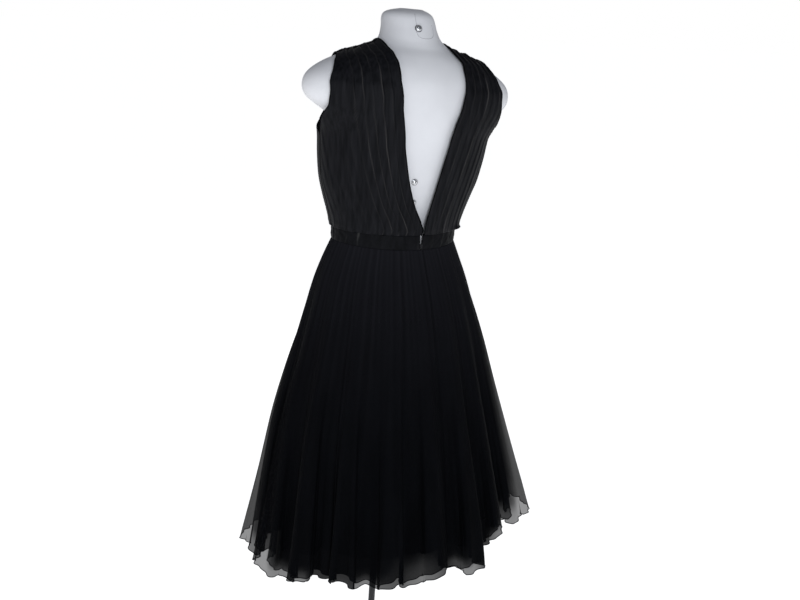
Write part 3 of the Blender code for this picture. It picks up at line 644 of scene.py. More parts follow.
def pleated_points(angle, z, s, seed, bulge=0.0, start=0, at_seam=0.6):
    """Outer points of pleated cloth, and how strong the painted highlight on each is near a folded
    edge.

    The pleats are counted along the cloth from its first edge, so they run beside it. Over the
    shoulder they grow into gathers, which are flattened again by the seam's stitches.
    """
    point, out = bodice_surface(angle, z)
    pouch, relief = by_step(LOOSE_ROWS, s)
    across = lengths(point, 1)
    from_side = across[:, -1:] - across
    from_edge = np.abs(across - across[:, start:start + 1])
    place = across / smooth(*PLEAT_ROWS, s) + 0.07 * np.sin(0.6 * s + seed + 9 * across)
    height = pleat(place) * uneven(place, s, seed)
    gathered = ramp(s, GATHER_STEP, SEAM_STEP)
    stitched = mix(1.0, at_seam, ramp(s, SEAM_STEP, SEAM_STEP + 1))
    edges = ramp(from_side, 0, 0.012) * np.clip(from_edge / 0.030 + 1 - gathered, 0, 1)
    relief = relief * (1 + 1.1 * gathered) * stitched * edges * (1 - 0.4 * ramp(place, 5, 9))
    droop = 0.45 * np.sin(2.1 * place + seed) + 0.35 * np.sin(5.3 * place)
    droop = (1 - ramp(s, 0, 3)) * droop
    bulge = bulge * np.exp(-((s - 1.5) / 0.8) ** 2 - ((from_side - 0.050) / 0.022) ** 2)
    loose = pouch * (1.0 + 0.5 * droop) + bulge * (0.8 + 0.2 * np.sin(5 * s))
    raised = 0.45 + 1.1 * np.sin(np.abs(angle)) ** 2
    low = ramp(s, 0, 1.5) * (1 - ramp(s, 0, 4))
    point[..., 2] += low * (0.0035 * droop + 0.0035 * raised)
    # A painted highlight on the folded edges, strongest on the pleats nearest the open back and patchy
    # down the cloth.
    strong = np.exp(-((place - 3.0) / 1.9) ** 2) * 1.5 + 0.15
    patchy = 0.65 + 0.35 * np.sin(1.7 * s + 3.1 * np.floor(place) + seed)
    edge = near_fold(place, 0.21) * ramp(height, 0.45, 1.45) * strong * patchy
    return point + out * (loose + relief * height)[..., None], np.clip(edge, 0, 1)


def back_panel(side):
    """The grid of one back panel, from the open back (first) to the side seam."""
    s = panel_steps(BACK_ROWS)
    u = np.linspace(0, 1, BACK_COLUMNS + 1)[None, :]
    z_in, z_out = BACK_ROWS[:, 0], BACK_ROWS[:, 1]
    edge, reach = (BACK_ROWS[:, k] for k in ((2, 4) if side > 0 else (3, 5)))
    first = side_angle(edge - read(BODICE_RINGS, z_in)[4], z_in)
    end = side_angle(side * np.where(reach > 0, reach, 1.0), z_out)   # 0 means: on to the side seam
    places = panel_places(first, end, *by_step(BACK_ROWS[:, :2], s), s, u)
    points, crest = pleated_points(*places, s, 1.3 * side + 2, SIDE_BULGE if side < 0 else 0.0)
    points[-1, :, 1] += SEAM_GAP / 2
    return points, crest


armhole = ARMHOLE_STEP * ROWS_PER_STEP
for node, side in (("bodice_back_left", 1), ("bodice_back_right", -1)):
    points, crest = back_panel(side)
    wear(cloth_piece(node + "_cloth", points, pleated, BODICE_WALL, crest=crest), "bodice_cloth", node)
    edge_rolls(node, "bodice_cloth", {
        "neck_roll": (points[4:, 0], ROLL),
        "armhole_roll": (points[armhole:-1, -1], ROLL),
        "side_seam": (points[3:armhole, -1], SIDE_SEAM),
        "shoulder_seam": (points[-1, 6:], SHOULDER_SEAM),
    })

# %% [markdown]
# ## The front of the bodice
# The photograph doesn't show the front, so it is made plainly in the same pleated cloth, with a
# shallow neckline between two straps. It is cut in one piece: its middle stops at the neckline, and
# its outer parts go on over the shoulders.

# %% The front panel
FRONT_ROWS = np.array((   # height mid, in, out, the strap's inner X, the armhole's X
    (21.5, 21.5, 21.5, 48, 0),
    (20.5, 20.5, 20.5, 49, 0),
    (30, 30, 30, 50, 0),
    (47, 47, 47, 52, 0),
    (80, 80, 80, 56, 0),
    (118, 120, 120, 60, 0),
    (154, 160, 158, 64, 0),
    (190, 200, 194, 67, 0),
    (224, 240, 218, 69, 152),
    (256, 278, 248, 70, 130),
    (284, 310, 280, 70, 126),
    (304, 334, 308, 70, 125),
    (304, 354, 326, 69, 133),
    (304, 368, 338.5, 69, 142),
)) / 1000
NECKLINE_STEP = 11
MIDDLE_COLUMNS, STRAP_COLUMNS = 36, 72
FRONT_SIDES = ((-1, 0.4), (1, 3.1))   # the right half and the left one, and where their pleats vary
FRONT_SEAM = 0.12         # how much of the gathers the front's shoulder seam leaves


def front_panel():
    """The grid of the front, from the wearer's right side to the left one."""
    middle, strap = MIDDLE_COLUMNS, STRAP_COLUMNS
    z_in, z_out, inner, reach = (FRONT_ROWS[:, k] for k in (1, 2, 3, 4))
    first = side_angle(inner, z_in, True)
    end = side_angle(np.where(reach > 0, reach, 1.0), z_out, True)
    s = panel_steps(FRONT_ROWS)
    z_mid, z_in, z_out, inner, _ = by_step(FRONT_ROWS, s)
    z_mid = np.minimum(z_mid, FRONT_ROWS[NECKLINE_STEP, 0])
    across = np.linspace(0, 1, middle + 1)[None, :-1]
    z_middle = mix(z_mid, z_in, across ** 2)
    angle_middle = side_angle(inner * across, z_middle, True)
    angle, z = panel_places(first, end, z_in, z_out, s, np.linspace(0, 1, strap + 1)[None, :])
    angle, z = np.concatenate((angle_middle, angle), 1), np.concatenate((z_middle, z), 1)
    right, left = (pleated_points(side * angle, z, s, seed, start=middle, at_seam=FRONT_SEAM)
                   for side, seed in FRONT_SIDES)
    right[0][:, 0] = left[0][:, 0]
    points, crest = (np.concatenate((one[:, :0:-1], other), 1) for one, other in zip(right, left))
    points[-1, :, 1] -= SEAM_GAP / 2
    rows, columns = points.shape[0] - 1, points.shape[1] - 1
    i, j = np.mgrid[0:rows, 0:columns]
    keep = (i < NECKLINE_STEP * ROWS_PER_STEP) | (j < strap) | (j >= columns - strap)
    return points, crest, keep


points, crest, keep = front_panel()
wear(cloth_piece("bodice_front_cloth", points, pleated, BODICE_WALL, keep, crest=crest),
     "bodice_cloth", "bodice_front")
neck_row, strap = NECKLINE_STEP * ROWS_PER_STEP, STRAP_COLUMNS
edge_rolls("bodice_front", "bodice_cloth", {
    "neckline_roll": (points[neck_row, strap:-strap], ROLL),
    "right_armhole_roll": (points[armhole:-2, 0], ROLL),
    "left_armhole_roll": (points[armhole:-2, -1], ROLL),
    "right_strap_roll": (points[neck_row:-2, strap], ROLL),
    "left_strap_roll": (points[neck_row:-2, -strap - 1], ROLL),
})

# %% [markdown]
# ## The waistband
# A narrow pleated band lies round the waist in three pieces, open in a small slit at the centre
# back. Its pleats lie the same way as the bodice's, but they are flatter and closer.

# %% The waistband
BAND_TOP, BAND_BOTTOM = 0.0208, -0.0090
BAND_WALL = 0.0009
SLIT_HALF = (0.0012, 0.0040)    # half the slit's width, at its foot and at its top
BAND_PLEATS, BAND_COLUMNS, BAND_ROWS = 26, 12, 12   # round the waist, in one pleat, up the band
PLEAT_HIGH, CRUMPLE_HIGH = 0.0014, 0.0005
SIDE_RISE = 0.006         # the waist seam lies a little higher at the sides


def opening_angle():
    """The angle of the centre-back opening."""
    size = read(BODICE_RINGS, 0.0)
    return float(np.arcsin((BACK_X - size[4]) / size[0]))


OPENING, QUARTER = opening_angle(), math.pi / 2
SPANS = (                 # the angles between which each piece round the waist lies
    ("back_left", OPENING, QUARTER),
    ("front", QUARTER, 3 * QUARTER),
    ("back_right", 3 * QUARTER, 4 * QUARTER + OPENING),
)


def directions(angle):
    """The directions out of the body and round it, as an angle's radius and its tangent."""
    level = 0 * angle
    return (np.stack((np.sin(angle), np.cos(angle), level), -1),
            np.stack((np.cos(angle), -np.sin(angle), level), -1))


def band_points(part, start, end):
    """The grid of one piece of the band, with the slit's edge slanting at the back, and a painted
    highlight on its pleats' edges.
    """
    pleats = round(BAND_PLEATS * (end - start) / (2 * math.pi))
    u = np.linspace(0, 1, pleats * BAND_COLUMNS + 1)[None, :]
    v = np.linspace(0, 1, BAND_ROWS + 1)[:, None]
    angle = mix(start, end, u) + 0 * v
    rise = SIDE_RISE * np.sin(angle) ** 2
    point, out = bodice_surface(angle, 0 * angle)
    point[..., 2] = WAIST_Z + mix(BAND_BOTTOM + rise, BAND_TOP + rise * 0.6, v)
    out[..., 2] = 0
    slit, seam = mix(*SLIT_HALF, v), SEAM_GAP / 2
    first = slit if part == "back_left" else seam
    final = slit if part == "back_right" else seam
    shift = (first * (u == 0) - final * (u == 1))[..., None]
    place = u * pleats + 0 * v
    number = np.floor(place)
    height = pleat(place + 0.12 * np.sin(3 * v + 7 * u)) * (0.85 + 0.35 * np.sin(1.9 * number))
    round_over = 1 - (2 * v - 1) ** 6 * 0.6
    crumple = np.sin(9 * place + 2.5 * np.sin(5 * v + place)) * np.sin(7 * v + 2.3 * place)
    thick = PLEAT_HIGH * height * round_over + CRUMPLE_HIGH * crumple * round_over
    # A painted highlight on the pleats' folded edges, stronger on some pleats than on others.
    turned = np.clip(0.50 + 0.9 * np.sin(5.1 * number + 2 * start) + 0.3 * np.sin(6 * v), 0, 1)
    edge = near_fold(place, 0.2) * ramp(height, 0.6, 1.6) * 1.8 * turned
    return point + directions(angle)[1] * shift + out * thick[..., None], edge


for part, start, end in SPANS:
    points, crest = band_points(part, start, end)
    band = cloth_piece(f"waistband_{part}_cloth", points, band_cloth, BAND_WALL, crest=crest)
    wear(band, "waistband_cloth", "waistband_" + part)

# %% [markdown]
# ## The skirt's folds
# The skirt hangs in eighteen uneven folds that are shallow at the waist and deep at the hem. A fold
# of soft cloth is wider at its crest than at its neck, so points also move sideways. Fine gathers
# fade below the waist, and small folds grow towards the hem.

# %% The skirt's surface
FLUTES = 18
SKIRT_TOP, SKIRT_LOW = -0.0095, -0.675
SKIRT_LONG = 0.62         # its length along a fold
LAYERS = {                # inset at waist and hem, shares of folds, flares and small folds, shorter by
    "skirt_outer": (0.0000, 0.0000, 1.00, 1.00, 1.00, 0.000),
    "skirt_inner": (0.0022, 0.0100, 0.94, 0.45, 0.85, 0.005),
    "skirt_lining": (0.0044, 0.0200, 0.86, 0.00, 0.15, 0.045),
}
BUNCHED_ROWS = np.array((  # by turns of the big folds: how tightly the chiffon bunches into small ones
    (-9.2, 0.6), (-8.0, 0.3), (-7.3, 0.8), (-6.5, 0.2), (-5.6, 0.7), (-4.8, 0.3), (-4.3, 0.5),
    (-3.9, 0.05), (-3.0, 0.05), (-2.5, 0.9), (-2.0, 0.9), (-1.75, 0.25), (-1.4, 0.9),
    (-1.05, 0.6), (-0.75, 0.1), (-0.4, 0.9), (-0.1, 0.6), (0.2, 0.1), (0.45, 0.2), (0.75, 0.8),
    (1.05, 0.8), (1.35, 0.3), (1.6, 0.4), (1.85, 0.9), (2.3, 1.0), (2.75, 1.0), (3.1, 0.2),
    (3.8, 0.2), (4.2, 0.5), (5.0, 0.2), (6.0, 0.2), (6.8, 0.8), (7.5, 0.4), (8.2, 0.9),
    (9.2, 0.6),
))
PETAL_ROWS = np.array((    # by turns: how open the hem's petals are to the light, and how high
    (-9.0, 0.5, 0.05), (-7.0, 0.7, 0.03), (-5.0, 0.4, 0.05), (-4.0, 0.9, 0.04),
    (-3.0, 0.9, 0.040), (-2.4, 0.8, 0.030), (-1.9, 0.7, 0.020), (-1.6, 0.1, 0.012),
    (-1.1, 0.2, 0.012), (-0.95, 0.9, 0.024), (-0.6, 0.9, 0.024), (-0.4, 0.1, 0.012),
    (-0.1, 0.2, 0.020), (0.05, 0.5, 0.045), (0.3, 0.75, 0.050), (0.5, 0.6, 0.045),
    (0.65, 0.30, 0.050), (0.95, 0.30, 0.050), (1.08, 0.4, 0.020), (1.4, 0.8, 0.015),
    (1.6, 0.8, 0.018), (1.85, 0.1, 0.010), (2.7, 0.05, 0.008), (2.95, 0.9, 0.020),
    (3.9, 0.9, 0.022), (4.3, 0.5, 0.030), (5.5, 0.7, 0.040), (7.5, 0.3, 0.030), (9.0, 0.5, 0.05),
))
SMALL_FOLDS = 4           # small folds in one big one
HEM_STEPS = np.array((    # by turns: how the sheer hems step up and down from fold to fold
    (-9, 0.004), (-7.5, -0.006), (-6, 0.005), (-4.5, -0.005), (-3.1, -0.005), (-2.3, 0.010),
    (-1.9, 0.014), (-1.3, -0.016), (-0.9, 0.002), (-0.6, -0.006), (-0.25, 0.013), (0.15, 0.007),
    (0.55, -0.014), (0.9, 0.008), (1.3, -0.004), (1.6, -0.007), (2.0, 0.008), (2.4, -0.007),
    (2.9, 0.0), (3.3, -0.009), (4.0, 0.002), (5.5, 0.004), (7.2, -0.006), (9, 0.004),
))


def fold_turns(angle):
    """Turns of the folds' wave. The folds are unevenly spaced."""
    drift = 0.55 * np.sin(2 * angle + 0.8) + 0.40 * np.sin(3 * angle + 2.1)
    return (FLUTES * angle + drift) / (2 * math.pi)


ALL_ANGLES = np.linspace(-math.pi, 3 * math.pi, 12001)
ALL_TURNS = fold_turns(ALL_ANGLES)


def fold_angles(start, end, per_fold):
    """Angles evenly spaced on the folds' wave, from one seam to the next."""
    first, last = fold_turns(start), fold_turns(end)
    turns = np.linspace(first, last, int(round((last - first) * per_fold)) + 1)
    angles = np.interp(turns, ALL_TURNS, ALL_ANGLES)
    angles[0], angles[-1] = start, end
    return angles


def jumbled(turns, waves):
    """An uneven wave: several waves that meet again only after one whole round."""
    whole = [(2 * math.pi * count / FLUTES, size, start) for count, size, start in waves]
    return sum(size * np.sin(rate * turns + start) for rate, size, start in whole)


# Each uneven wave: how often it goes round the body, its size and its start.
GATHERS = ((50, 0.30, 0.3), (67, 0.34, 2.1), (85, 0.30, 4.0), (104, 0.26, 1.2), (131, 0.20, 5.1))
INNER_HEM = ((11, 0.5, 0.2), (19, 0.6, 1.9), (31, 0.5, 4.4))
STRAYS = ((7, 0.20, 1.0), (15, 0.15, 2.0), (23, 0.10, 0.5))   # small folds stray from even spacing
FLARE_ROOM = 0.024        # how far the lining stays back behind a flare
TONGUE = 0.009            # how far the hem hangs in rounded tongues
INNER_WAVE = 0.006        # the inner hem doesn't follow the outer one
GATHER_HIGH = 0.0004      # at the waist
SMALL_LEAST, SMALL_MORE = 0.0012, 0.0050   # height of the small folds, plain and where bunched
RUFFLE = 0.0016           # at the hem itself, where it fades upwards over RUFFLE_FADE
RUFFLE_FADE = 0.020


def hem_lift(angle):
    """How far the hem is lifted on the way round, as the dress hangs askew."""
    degrees = (np.degrees(angle) + 180.0) % 360.0 - 180.0
    return smooth(HEM_ROWS[:, 0], HEM_ROWS[:, 1], degrees)


def flare(angle, z):
    """How far single folds stand out past the others, and their share of the cloth."""
    out, share = np.zeros_like(z), np.zeros_like(z)
    for degrees, half, reach, start, growth in FLARE_ROWS:
        turn = np.abs((np.degrees(angle) - degrees + 180.0) % 360.0 - 180.0) / half
        grown = ramp(z, start, SKIRT_LOW)
        bump = np.where(turn < 1, np.cos(np.clip(turn, 0, 1) * math.pi / 2) ** 2, 0)
        out += reach * grown ** growth * bump
        share += grown * bump
    return out, share


def skirt_points(layer, angles, downs):
    """The grid of one layer: a row for each step down, a column for each angle."""
    inset_top, inset_hem, folds, flares, small, shorter = LAYERS[layer]
    angle, down = np.meshgrid(angles, downs)
    turns = fold_turns(angle)
    wrapped = (turns + FLUTES / 2) % FLUTES - FLUTES / 2
    from_hem = (1 - down) * SKIRT_LONG
    rise = SIDE_RISE * np.sin(angle) ** 2
    tongue = np.abs(np.sin(math.pi * (1.5 * turns + jumbled(turns, STRAYS)))) ** 0.5
    lift = hem_lift(angle) + read(HEM_STEPS, wrapped)[0] * (0.3 + 0.7 * small)
    lift += TONGUE * (0.55 - tongue) * small
    lift += INNER_WAVE * (1 - folds) / 0.06 * jumbled(turns, INNER_HEM) * small
    z = mix(SKIRT_TOP + rise, SKIRT_LOW + shorter + lift, down)
    left, right, front, back, fold = read(SKIRT_ROWS, z - rise * ramp(z, -0.14, -0.01))
    drop = (SKIRT_TOP - z) / (SKIRT_TOP - SKIRT_LOW)
    side = np.where(np.sin(angle) > 0, left, right)
    depth = np.where(np.cos(angle) > 0, back, front)
    stands, share = flare(angle, z)
    deep = 0.80 + 0.14 * np.sin(2 * angle + 2.6) + 0.06 * np.sin(5 * angle)
    trough = (0.5 - 0.5 * np.cos(2 * math.pi * turns)) * (1 - share * flares)
    radial, along = directions(angle)
    grown = ramp(drop, 0.15, 1)
    gather = jumbled(turns, GATHERS)
    gathers = GATHER_HIGH * (1 - drop) ** 2 * gather
    bunched = read(BUNCHED_ROWS, wrapped)[0]
    wave = 2 * math.pi * (SMALL_FOLDS * turns + jumbled(turns, STRAYS))
    high = (SMALL_LEAST + SMALL_MORE * bunched) * grown ** 1.5
    # The layers under the outer one lie behind its small folds, so that none crosses another.
    ripples = high * (small * (np.sin(wave) - bunched) - (1 - small) * (1 + bunched))
    near_hem = np.exp(-from_hem / RUFFLE_FADE)
    ruffle = RUFFLE * near_hem * np.sin(2 * math.pi * (7 * turns + 0.3 * np.sin(5 * angle)))
    away = stands * flares - mix(inset_top, inset_hem, drop) - fold * folds * deep * trough
    away = away - FLARE_ROOM * (1 - flares) * share
    away = away + gathers + ruffle * folds + ripples
    lean = 1.7 * np.sin(4 * math.pi * turns) - 1.5 * small * bunched / SMALL_FOLDS * np.sin(2 * wave)
    lean = lean * grown ** 1.5 * side / (2 * FLUTES) * (1 - share * flares)
    place = np.stack((side * radial[..., 0], depth * radial[..., 1], WAIST_Z + z), -1)
    # A painted highlight over the gathers at the top of the skirt, fading downwards.
    lit = np.exp(-drop / 0.25) * np.clip(0.58 + 0.16 * gather, 0, 1)
    open_hem, reach = read(PETAL_ROWS, wrapped)
    above = np.clip(1.35 - from_hem / reach, 0, 1)     # 1 at the hem's petals, 0 over them
    dense = mix(0.97, 1 - 0.85 * open_hem, above * above * (3 - 2 * above))
    dense = dense * (1 - 0.97 * np.clip(share * 3.0, 0, 1))
    return place + radial * away[..., None] + along * lean[..., None], lit, dense


print("folds at the hem, mm apart:", round(2 * math.pi * 280 / FLUTES))

# %% [markdown]
# ## The three layers of the skirt
# Two sheer layers fall over an opaque lining, each cut as a front and two backs. The lining is
# shorter, so near the hem only chiffon is left and the light comes through. Each edge is rolled
# and whipped, which shows as a thin dark line.

# %% The layers and their rolled hems
HEM_ROLL, SKIRT_SEAM = 0.0009, 0.0005
SEAM_ANGLE = SEAM_GAP / 2 / 0.13 * 0.2   # how far the cloth's edge stops before its seam
for layer, cloth, slot, per_fold, rows, wall in (
        ("skirt_outer", sheer, "sheer_cloth", 72, 60, 0.0),
        ("skirt_inner", sheer, "sheer_cloth", 66, 54, 0.0),
        ("skirt_lining", lining_cloth, "lining_cloth", 24, 40, 0.0008)):
    for part, start, end in SPANS:
        node = f"{layer}_{part}"
        angles = fold_angles(start + SEAM_ANGLE, end - SEAM_ANGLE, per_fold)
        points, lit, dense = skirt_points(layer, angles, np.linspace(0, 1, rows + 1) ** 1.1)
        wear(cloth_piece(node + "_cloth", points, cloth, wall, crest=lit, bunched=dense), slot, node)
        edge_rolls(node, slot, {"hem": (points[-1], HEM_ROLL), "seam": (points[:, 0], SKIRT_SEAM)})

# %% [markdown]
# ## The dress form
# The form is a hard shell with a matte, slightly uneven skin. The CAD node already has its shape, so
# a copy of it is merged, turned back to four-sided faces and smoothed by subdivision, as a sculptor
# goes over a rough cast.

# %% The form
def skin(name, dark, light, scale, roughness, depth, metallic=0.0):
    """A hard skin with soft blotches and a fine grain."""
    made, shader = plain_material(name, light, roughness, Metallic=metallic)
    where = add(shader, "TexCoord")
    toned(shader, where, "Object", (dark, light), (0.3, 0.7), Scale=scale, Detail=5.0)
    grain = add(shader, "TexNoise", Scale=scale * 60, Detail=3.0)
    bump = add(shader, "Bump", Strength=0.4, Distance=depth)
    join(where, "Object", grain, "Vector")
    join(grain, "Fac", bump, "Height")
    join(bump, "Normal", shader, "Normal")
    return made


def copy_of_node(node, name):
    """A merged copy of a CAD node, in four-sided faces, free to change."""
    in_hand(frame["nodes"][node])
    bpy.ops.object.duplicate()
    piece = bpy.context.object
    piece.name = piece.data.name = name
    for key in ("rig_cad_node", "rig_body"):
        del piece[key]
    piece.parent = None
    piece.data.materials.clear()
    in_hand(piece)
    bpy.ops.object.mode_set(mode="EDIT")
    bpy.ops.mesh.select_all(action="SELECT")
    bpy.ops.mesh.remove_doubles(threshold=0.00002)
    bpy.ops.mesh.tris_convert_to_quads()
    bpy.ops.object.mode_set(mode="OBJECT")
    bpy.ops.mesh.customdata_custom_splitnormals_clear()
    bpy.ops.object.shade_smooth()
    return piece


torso = copy_of_node("form_torso", "form_shell")
shell_skin = skin("form_shell", (0.645, 0.652, 0.680), (0.730, 0.738, 0.768), 9.0, 0.55, 0.0004)
torso.data.materials.append(shell_skin)
finer = torso.modifiers.new("finer", "SUBSURF")
finer.levels = finer.render_levels = 2
bpy.ops.object.modifier_apply(modifier=finer.name)
wear(torso, "form_shell", "form_torso")
print("form faces", len(torso.data.polygons))

# %% [markdown]
# ## Seams and studs of the form
# A fine seam runs up the back of the neck, and another one turns round beside the stud, where the
# form's covering was joined. They are thin cords half sunk in the skin. Each stud is a turned button: a
# rim, a groove and a dome. It is modelled once from a cylinder by insets and extrusions, then copied.

# %% Neck seams and studs
def on_form(x, z):
    """The point of the form's back at one X and height, and its outward direction."""
    side, _, back, lean, centre = read(FORM_ROWS, z)
    guess = ring_points(side, back, back, lean, centre, math.asin((x - centre) / side), z)
    _, spot, normal, _ = torso.closest_point_on_mesh(Vector(guess))
    return spot, normal


def seam_line(name, spots):
    """A seam that follows the form through a few places, given by X and height."""
    steps = np.linspace(0, len(spots) - 1, 12 * (len(spots) - 1) + 1)
    xs = smooth(range(len(spots)), [x for x, _ in spots], steps)
    zs = smooth(range(len(spots)), [z for _, z in spots], steps)
    wear(tube(name, [on_form(x, z)[0] for x, z in zip(xs, zs)], 0.00045, seam_skin), "form_shell")


seam_skin = skin("form_seam", (0.36, 0.36, 0.38), (0.44, 0.44, 0.47), 30.0, 0.7, 0.0002)
seam_line("form_neck_seam_up", ((0.0025, 0.409), (0.0030, 0.416), (0.0034, 0.4235), (0.0020, 0.4305)))
seam_line("form_neck_seam_side", (
    (0.0040, 0.3975), (0.0010, 0.3905), (-0.0060, 0.3872), (-0.0160, 0.3866),
    (-0.0260, 0.3880), (-0.0330, 0.3930), (-0.0345, 0.4020), (-0.0325, 0.4120)))


def pick_up_faces(piece):
    """Selects the faces that look up and lie highest."""
    shape = bmesh.from_edit_mesh(piece.data)
    top = max(vert.co.z for vert in shape.verts)
    for face in shape.faces:
        face.select = face.normal.z > 0.9 and face.calc_center_median().z > top - 1e-6
    shape.select_flush(True)
    bmesh.update_edit_mesh(piece.data)


def plain_solid(name, primitive, **sizes):
    """A new plain solid at the origin, open for editing."""
    bpy.ops.object.select_all(action="DESELECT")
    primitive(location=(0, 0, 0), **sizes)
    piece = bpy.context.object
    piece.name = piece.data.name = name
    bpy.ops.object.mode_set(mode="EDIT")
    return piece


def finish_metal():
    """Turns every face outwards and keeps only the sharp edges sharp."""
    bpy.ops.mesh.select_all(action="SELECT")
    bpy.ops.mesh.normals_make_consistent(inside=False)
    bpy.ops.object.mode_set(mode="OBJECT")
    bpy.ops.object.shade_smooth_by_angle(angle=math.radians(40))


STUD_STEPS = (            # an inset, how far the faces are pulled up, and how much narrower
    (0.05, 0.06, 1.0), (0.14, -0.10, 1.0), (0.03, 0.12, 1.0), (0.0, 0.14, 0.93),
    (0.0, 0.12, 0.85), (0.0, 0.08, 0.72), (0.0, 0.04, 0.50),
)


def turned_stud(name):
    """A button of radius 1 with a rim, a groove and a dome."""
    piece = plain_solid(name, bpy.ops.mesh.primitive_cylinder_add, vertices=40, radius=1.0, depth=0.30)
    for inset, rise, narrow in STUD_STEPS:
        if rise > 0:      # the groove is pushed down from the faces that are still selected
            pick_up_faces(piece)
        if inset:
            bpy.ops.mesh.inset(thickness=inset, depth=0)
        bpy.ops.mesh.extrude_region_move(TRANSFORM_OT_translate={"value": (0, 0, rise)})
        bpy.ops.transform.resize(value=(narrow, narrow, 1), center_override=(0, 0, 0))
    finish_metal()
    return piece


def turn_angles(count):
    """Angles evenly spaced over one whole turn."""
    return np.linspace(0, 2 * math.pi, count, endpoint=False)


STUDS = (                 # node, X, height over the waist, radius
    ("form_stud_neck", -0.0007, 0.4037, 0.0064),
    ("form_stud_back_upper", 0.0077, 0.1235, 0.0055),
    ("form_stud_back_lower", 0.0050, 0.0840, 0.0050),
)
steel = skin("stud_steel", (0.50, 0.51, 0.53), (0.80, 0.81, 0.82), 60.0, 0.25, 0.0001, 1.0)
collar_metal = skin("stud_collar", (0.10, 0.10, 0.11), (0.20, 0.20, 0.21), 60.0, 0.35, 0.0001, 1.0)
pattern = turned_stud("stud_pattern")
for node, x, z, radius in STUDS:
    in_hand(pattern)
    bpy.ops.object.duplicate()
    stud = bpy.context.object
    stud.name = stud.data.name = node + "_turned"
    stud.data.materials.append(steel)
    spot, normal = on_form(x, z)
    stud.scale = (radius, radius, radius)
    stud.rotation_euler = normal.to_track_quat("Z", "Y").to_euler()
    stud.location = spot + normal * 0.10 * radius
    bpy.ops.object.transform_apply(location=True, rotation=True, scale=True)
    wear(stud, "stud_metal", node)
    level = normal.cross(Vector((0, 0, 1))).normalized()
    upward = normal.cross(level)
    ring = [spot + normal * 0.0004 + (level * math.cos(a) + upward * math.sin(a)) * (radius + 0.0002)
            for a in turn_angles(40)]
    wear(tube(node + "_collar", ring, 0.0006, collar_metal, closed=True), "stud_metal")
bpy.data.objects.remove(pattern)
print("studs", [node for node, _, _, _ in STUDS])

# %% [markdown]
# ## The stand and the closure
# The painted pole and the base keep the CAD shapes, which are round and plain. They get a painted
# metal with a slight orange peel.

# %% Materials of the carried-over nodes
paint = skin("stand_paint", (0.010, 0.0105, 0.0115), (0.020, 0.021, 0.023), 30.0, 0.45, 0.0002, 0.3)
dark_metal = skin("closure_metal", (0.010, 0.010, 0.012), (0.03, 0.03, 0.034), 80.0, 0.35, 0.0001, 0.8)
for node, stuff in (("stand_pole", paint), ("stand_base", paint), ("hook", dark_metal)):
    for place in frame["nodes"][node].material_slots:
        place.material = stuff
print("carried-over nodes finished")

# %% [markdown]
# ## The zip and the hook's stitches
# The zip under the slit is a coil zip: each side is one wire wound round and round. A helix of points
# gives the coil, and a curve gives it a thickness. The slider is a small block: its corners are
# rounded, and its outer face is inset and pulled out for the bridge that holds the pull.

# %% Zip and stitches
SIDES = ((1, "left"), (-1, "right"))
COIL_RADIUS, COIL_PITCH, COIL_WIRE, COIL_SUNK = 0.0008, 0.0012, 0.00022, 0.0004
COIL_LOW, COIL_HIGH = 0.0036, 0.0200
STITCH, STITCH_WIRE = 0.0010, 0.00016


def slit_side(side, z):
    """A place on one edge of the slit, and the directions out of and along the waist."""
    point, out = bodice_surface(np.array(OPENING), np.array(0.0))
    out[2] = 0
    along = np.array((math.cos(OPENING), -math.sin(OPENING), 0.0))
    half = np.interp(z, (BAND_BOTTOM, BAND_TOP), SLIT_HALF)
    point[2] = WAIST_Z + z
    return point + along * side * half, out, along


coil_stuff = black_cloth("zip_coil", (0.004, 0.004, 0.005), (0.012, 0.012, 0.014), 0.35, 0.0, 0.4)
for side, label in SIDES:
    coil = []
    for z in np.arange(COIL_LOW, COIL_HIGH, COIL_PITCH / 10):
        spot, out, along = slit_side(side, z)
        turn = 2 * math.pi * z / COIL_PITCH
        sunk = COIL_RADIUS * 0.6 * math.sin(turn) - COIL_SUNK
        coil.append(spot + along * COIL_RADIUS * math.cos(turn) + out * sunk)
    wear(tube(f"zip_coil_{label}", coil, COIL_WIRE, coil_stuff), "closure_metal")


def middle_of(node):
    """The middle of a CAD node's box."""
    shape = frame["nodes"][node]
    return sum((shape.matrix_world @ Vector(corner) for corner in shape.bound_box), Vector()) / 8


def block_slider():
    """The slider, at the origin, with its outer face towards +Y."""
    piece = plain_solid("zip_slider_body", bpy.ops.mesh.primitive_cube_add, size=1.0)
    bpy.ops.transform.resize(value=(0.0050, 0.0018, 0.0085), center_override=(0, 0, 0))
    bpy.ops.mesh.bevel(offset=0.0005, segments=2, affect="EDGES")
    bpy.ops.mesh.select_all(action="DESELECT")
    shape = bmesh.from_edit_mesh(piece.data)
    outer = max(shape.faces, key=lambda face: face.calc_center_median().y * 1000 + face.calc_area())
    outer.select = True
    bmesh.update_edit_mesh(piece.data)
    bpy.ops.mesh.inset(thickness=0.0012, depth=0)
    bpy.ops.mesh.extrude_region_move(TRANSFORM_OT_translate={"value": (0, 0.0007, 0)})
    finish_metal()
    return piece


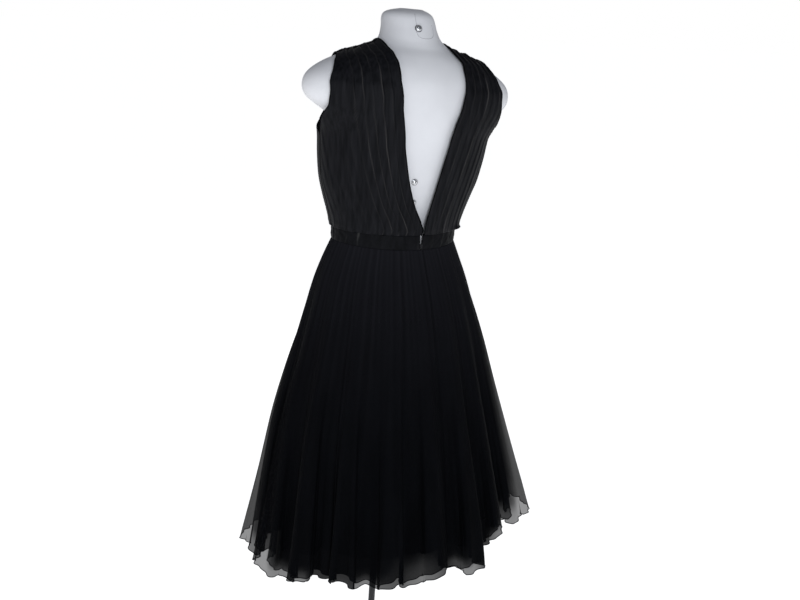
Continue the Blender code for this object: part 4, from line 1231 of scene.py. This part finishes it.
slider, slider_middle = block_slider(), middle_of("zip_slider")
slider.data.materials.append(dark_metal)
slider.rotation_euler = (0, 0, -OPENING)
slider.location = slider_middle
bpy.ops.object.transform_apply(location=True, rotation=True, scale=True)
wear(slider, "closure_metal", "zip_slider")
_, out, along = slit_side(0, 0.0)
pull = []                 # a drop-shaped ring that hangs from the slider
for a in turn_angles(24):
    across = Vector(out * 0.0021 + along * 0.0011 * math.sin(a) + np.array((0, 0, -0.0030)))
    down = Vector((0, 0, 0.0030 * math.cos(a) - 0.0008 * math.cos(2 * a)))
    pull.append(slider_middle + across + down)
wear(tube("zip_slider_pull", pull, 0.0003, dark_metal, closed=True), "closure_metal")

hook_middle = middle_of("hook")
for side, label in SIDES:
    for number in range(3):
        centre = hook_middle + Vector((side * (0.0024 + 0.0005 * number), 0, -0.0003 - 0.0002 * number))
        loop = [centre + Vector((0, STITCH * math.cos(a) - 0.0003, STITCH * 0.8 * math.sin(a)))
                for a in turn_angles(14)]
        name = f"hook_stitch_{label}_{number}"
        wear(tube(name, loop, STITCH_WIRE, rolled, closed=True), "bodice_cloth")
print("zip coils, slider and stitches made")

# %% [markdown]
# ## The cut of each piece
# A cloth piece is cut flat before it is hung. These are the widths, the lengths and the areas of what
# shows of each piece, in metres. A skirt piece widens from the waist to the hem, so it fills only part
# of its rectangle. The cloth that lies hidden under the pleats isn't counted here.

# %% Declaring the sheets
CUTS = {                  # how it is held, what it rests on, and each part's width, length and area
    "bodice": ("draped", "form_shell", {
        "back_left": (0.215, 0.445, 0.067), "back_right": (0.190, 0.440, 0.058),
        "front": (0.550, 0.475, 0.137)}),
    "waistband": ("draped", "form_shell", {
        "back_left": (0.195, 0.031, 0.0055), "front": (0.350, 0.031, 0.0100),
        "back_right": (0.155, 0.031, 0.0044)}),
    "skirt_outer": ("hung", "skirt_inner_{}_cloth", {
        "back_left": (0.870, 0.695, 0.288), "front": (1.490, 0.695, 0.482),
        "back_right": (0.720, 0.650, 0.218)}),
    "skirt_inner": ("hung", "skirt_lining_{}_cloth", {
        "back_left": (0.795, 0.685, 0.266), "front": (1.380, 0.685, 0.447),
        "back_right": (0.660, 0.635, 0.199)}),
    "skirt_lining": ("hung", "form_shell", {
        "back_left": (0.635, 0.645, 0.225), "front": (1.150, 0.645, 0.383),
        "back_right": (0.565, 0.595, 0.171)}),
}
for kind, (held, base, cuts) in CUTS.items():
    for part, (width, length, area) in cuts.items():
        node, under = f"{kind}_{part}", base.format(part)
